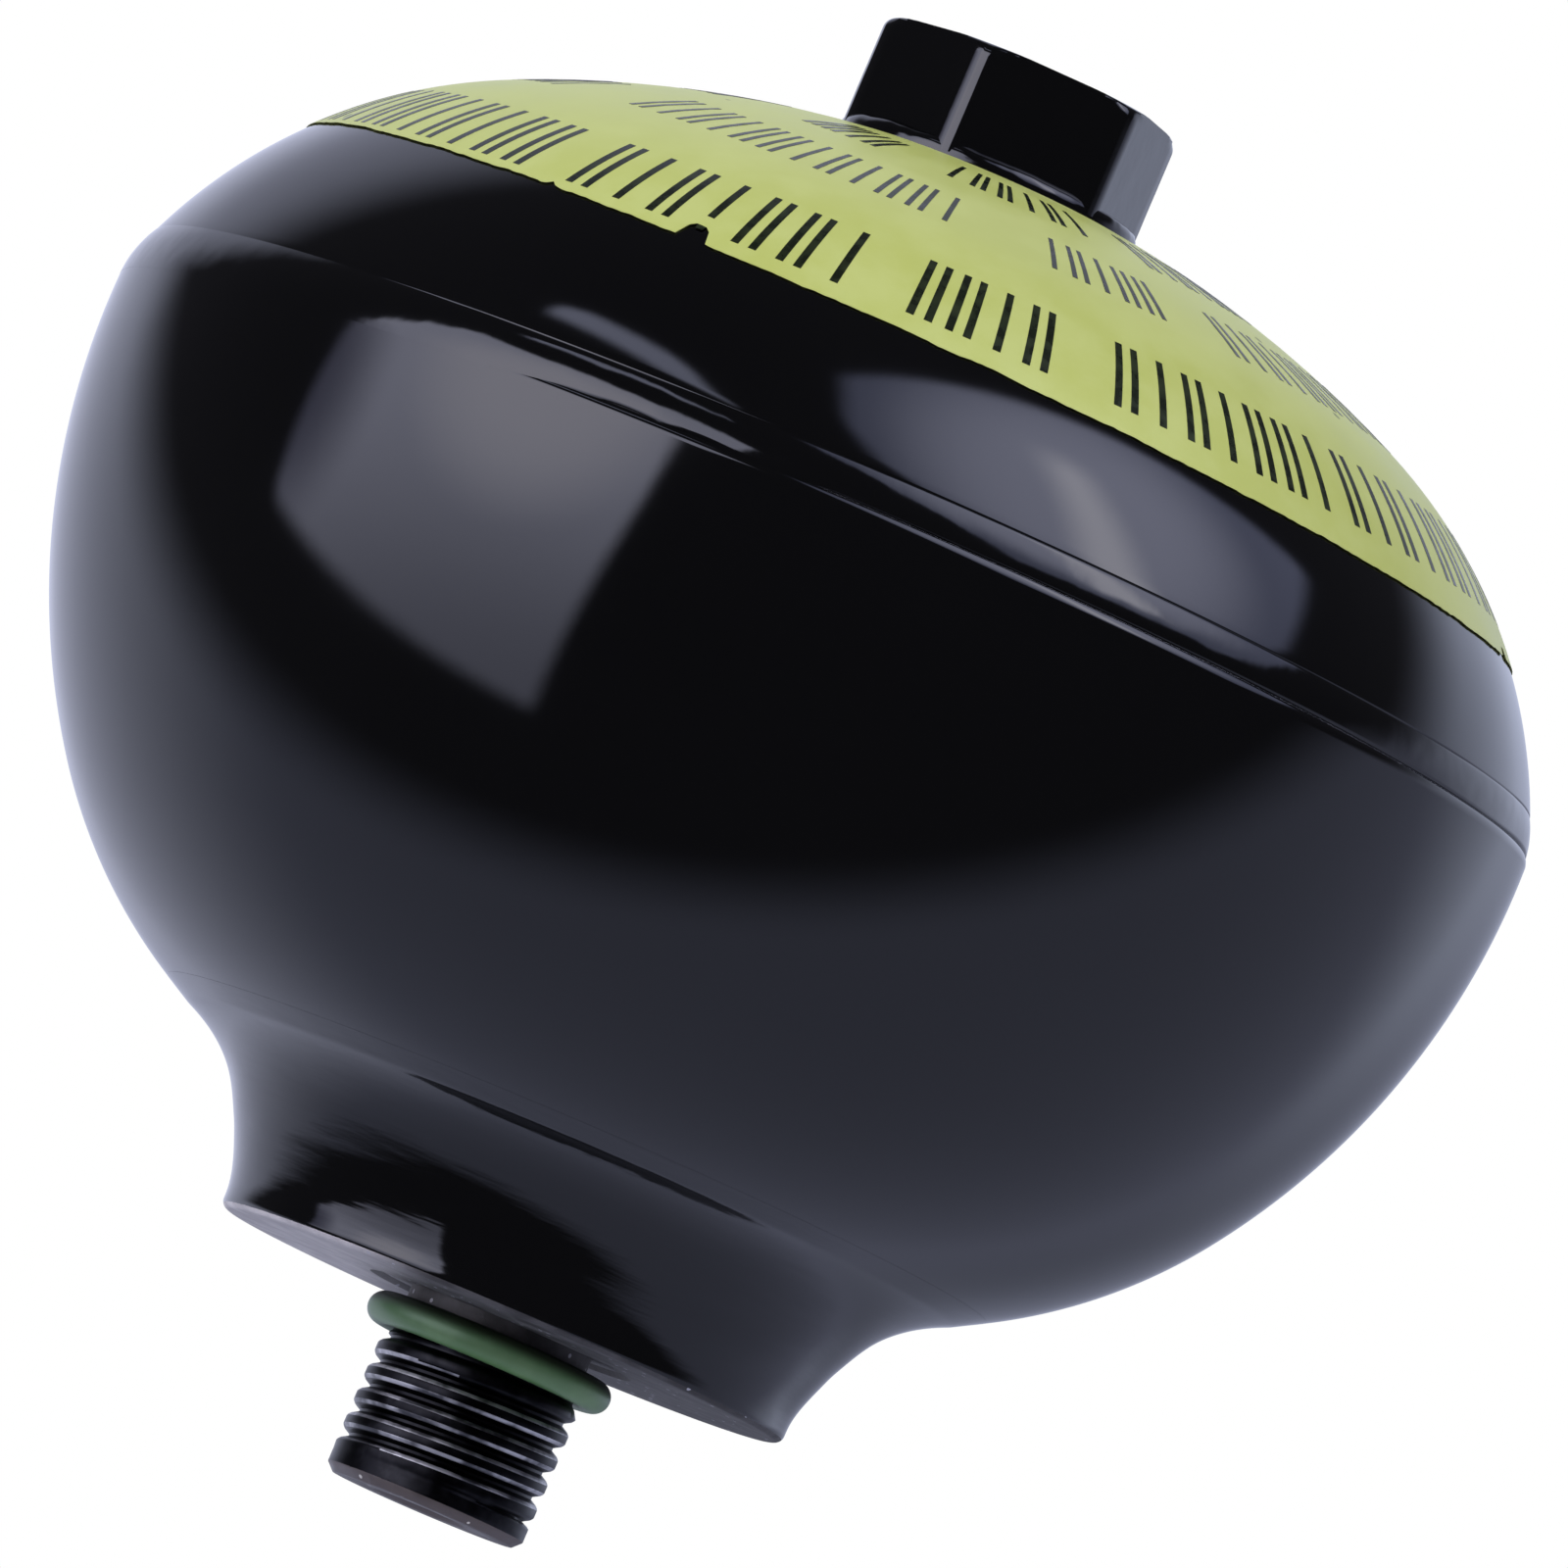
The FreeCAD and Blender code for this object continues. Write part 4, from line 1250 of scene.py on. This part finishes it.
def studio_room():
    """Room that only gloss mirrors: dark above and in front, pale table below and behind."""
    material = bpy.data.materials.new("studio_room")
    material.use_nodes = True
    material.node_tree.nodes.clear()
    position = node(material, "NewGeometry", {}).outputs["Position"]
    place = node(material, "VectorMath", {0: position}, operation="NORMALIZE").outputs[0]
    above = along(material, place, room_centre)
    dark = patched(material, place, colour(0.055, 0.055, 0.068), dark_patches)
    table = patched(material, place, colour(0.46, 0.49, 0.68), table_patches)
    room = mottled(material, above, -0.31, -0.065, table, dark)
    left = math_node(material, "MAXIMUM", window_mask(material, place, window_left, 0.03),
                     window_mask(material, place, window_left_corner, 0.03))
    height = node(material, "SeparateXYZ", {0: place}).outputs[2]
    left_light = mottled(material, height, -0.56, 0.16, colour(1.05, 1.08, 1.42),
                         colour(2.60, 2.66, 3.40))
    left_light = patched(material, place, left_light, left_patches)
    room = mix_colour(material, left, room, left_light)
    left_high = window_mask(material, place, window_left_high, 0.02)
    room = mix_colour(material, left_high, room, colour(1.85, 1.95, 2.65))
    right = window_mask(material, place, window_right, 0.03)
    right_light = patched(material, place, colour(0.85, 0.92, 1.40), right_patches)
    hot = window_mask(material, place, window_right_hot, 0.06)
    right_light = mix_colour(material, hot, right_light, colour(4.7, 4.7, 5.5))
    room = mix_colour(material, right, room, right_light)
    light = node(material, "Emission", {"Color": room, "Strength": 1.0}).outputs[0]
    node(material, "OutputMaterial", {"Surface": light})
    mesh = bmesh.new()
    bmesh.ops.create_icosphere(mesh, subdivisions=5, radius=room_radius)
    room_object = scene_object("studio_room", mesh, [material])
    for ray in ("camera", "diffuse", "transmission", "volume_scatter", "shadow"):
        setattr(room_object, "visible_" + ray, False)


def floor():
    """Plain pale floor well below the part. It fades out far away and is clear from its underside."""
    material, shader = new_finish("floor_paper", Roughness=0.9)
    place = object_place(material)
    fibres = grain(material, place, 40, 3)
    base = mix_colour(material, fibres, colour(0.86, 0.86, 0.87), colour(0.90, 0.90, 0.90))
    underside = node(material, "NewGeometry", {}).outputs["Backfacing"]
    distance = node(material, "VectorMath", {0: place}, operation="LENGTH").outputs["Value"]
    near = ramp(material, distance, floor_fade_start, floor_fade_end, 1.0, 0.0)
    cover = math_node(material, "SUBTRACT", near, underside, clamp=True)
    drive(material, shader, Base_Color=base, Alpha=cover)
    mesh = bmesh.new()
    bmesh.ops.create_grid(mesh, x_segments=1, y_segments=1, size=floor_half_width,
                          matrix=Matrix.Translation((0, 0, -floor_drop)))
    sheet = scene_object("floor_paper", mesh, [material])
    sheet.visible_glossy = False


def world():
    """White to the camera and in reflections, a plain level for the light it gives."""
    made = bpy.data.worlds.new("studio_world")
    bpy.context.scene.world = made
    made.use_nodes = True
    made.node_tree.nodes.clear()
    path = node(made, "LightPath", {})
    seen = math_node(made, "MAXIMUM", path.outputs["Is Camera Ray"], path.outputs["Is Glossy Ray"])
    seen = math_node(made, "MAXIMUM", seen, path.outputs["Is Transmission Ray"])
    strength = math_node(made, "MULTIPLY_ADD", seen, 1 - world_level, world_level)
    sky = node(made, "Background", {"Color": colour(1, 1, 1), "Strength": strength}).outputs[0]
    node(made, "OutputWorld", {"Surface": sky})


def lamp(name, azimuth, elevation, power):
    """Square soft lamp aimed at the middle of the part. Gloss mirrors the room instead."""
    light = bpy.data.lights.new(name, "AREA")
    light.size = lamp_size
    light.energy = power
    lamp_object = bpy.data.objects.new(name, light)
    bpy.context.scene.collection.objects.link(lamp_object)
    towards = direction(azimuth, elevation)
    lamp_object.location = part_middle + towards * lamp_distance
    lamp_object.rotation_euler = towards.to_track_quat("Z", "Y").to_euler()
    lamp_object.visible_camera = False
    lamp_object.visible_glossy = False


def camera():
    """Long lens from the front and a little below, rolled so that the axis leans right."""
    lean = math.radians(camera_lean)
    sight = (camera_aim - camera_place).normalized()
    upward = Vector((-math.sin(lean), 0, math.cos(lean)))
    right = sight.cross(upward).normalized()
    upward = right.cross(sight)
    data = bpy.data.cameras.new("camera")
    data.sensor_width = 36.0
    data.lens = data.sensor_width * (camera_aim - camera_place).length / camera_frame_width
    data.clip_start = 0.05
    data.clip_end = 50.0
    camera_object = bpy.data.objects.new("camera", data)
    bpy.context.scene.collection.objects.link(camera_object)
    camera_object.matrix_world = Matrix((
        (right.x, upward.x, -sight.x, camera_place.x),
        (right.y, upward.y, -sight.y, camera_place.y),
        (right.z, upward.z, -sight.z, camera_place.z),
        (0, 0, 0, 1)))
    bpy.context.scene.camera = camera_object


def finish_cad_node(name, finish):
    """Gives a CAD node that stays a procedural material."""
    data = frame["nodes"][name].data
    data.materials.clear()
    data.materials.append(finish)


def build():
    """Every piece of the part with its finish."""
    shell_paint = gloss_paint("shell_paint", 0.0012 * MM, 0.012)
    weld_paint = gloss_paint("weld_paint", 0.006 * MM, 0.02)
    neck_paint = gloss_paint("neck_paint", 0.003 * MM, 0.02, 0.035 * MM)
    boss_paint = gloss_paint("boss_paint", 0.012 * MM, 0.02)
    inside_steel = oiled_steel("inside_steel", 0.35, 0.35, 0.5, 900)
    bore_steel = oiled_steel("bore_steel", 0.28, 0.3, 0.45, 2500)
    plug_steel = oiled_steel("plug_steel", 0.16, 0.32, 0.48, 2500)
    lower_shell(shell_paint, inside_steel)
    upper_shell(shell_paint, inside_steel)
    girth_weld(weld_paint)
    seat = seat_steel()
    neck(neck_paint, seat, bore_steel)
    fitting_weld(neck_paint)
    stud(thread_steel(), crest_wear_and_glint(), end_steel(), seat)
    seal_ring(seal_rubber())
    hex_boss(boss_paint, bore_steel)
    boss_weld(weld_paint)
    charge_plug(plug_steel)
    diaphragm(moulded_rubber())
    label(label_film())
    label_print(print_ink())
    finish_cad_node("charge_ball", oiled_steel("ball_steel", 0.7, 0.08, 0.16, 200))
    finish_cad_node("clamp_ring", oiled_steel("ring_steel", 0.45, 0.28, 0.42, 1800))
    finish_cad_node("diaphragm_button", oiled_steel("button_steel", 0.5, 0.22, 0.36, 1800))


build()
camera()
world()
studio_room()
floor()
lamp("lamp_left", azimuth=-50, elevation=40, power=4.6)
lamp("lamp_right", azimuth=50, elevation=60, power=2.6)
bpy.context.scene.view_settings.view_transform = "Standard"
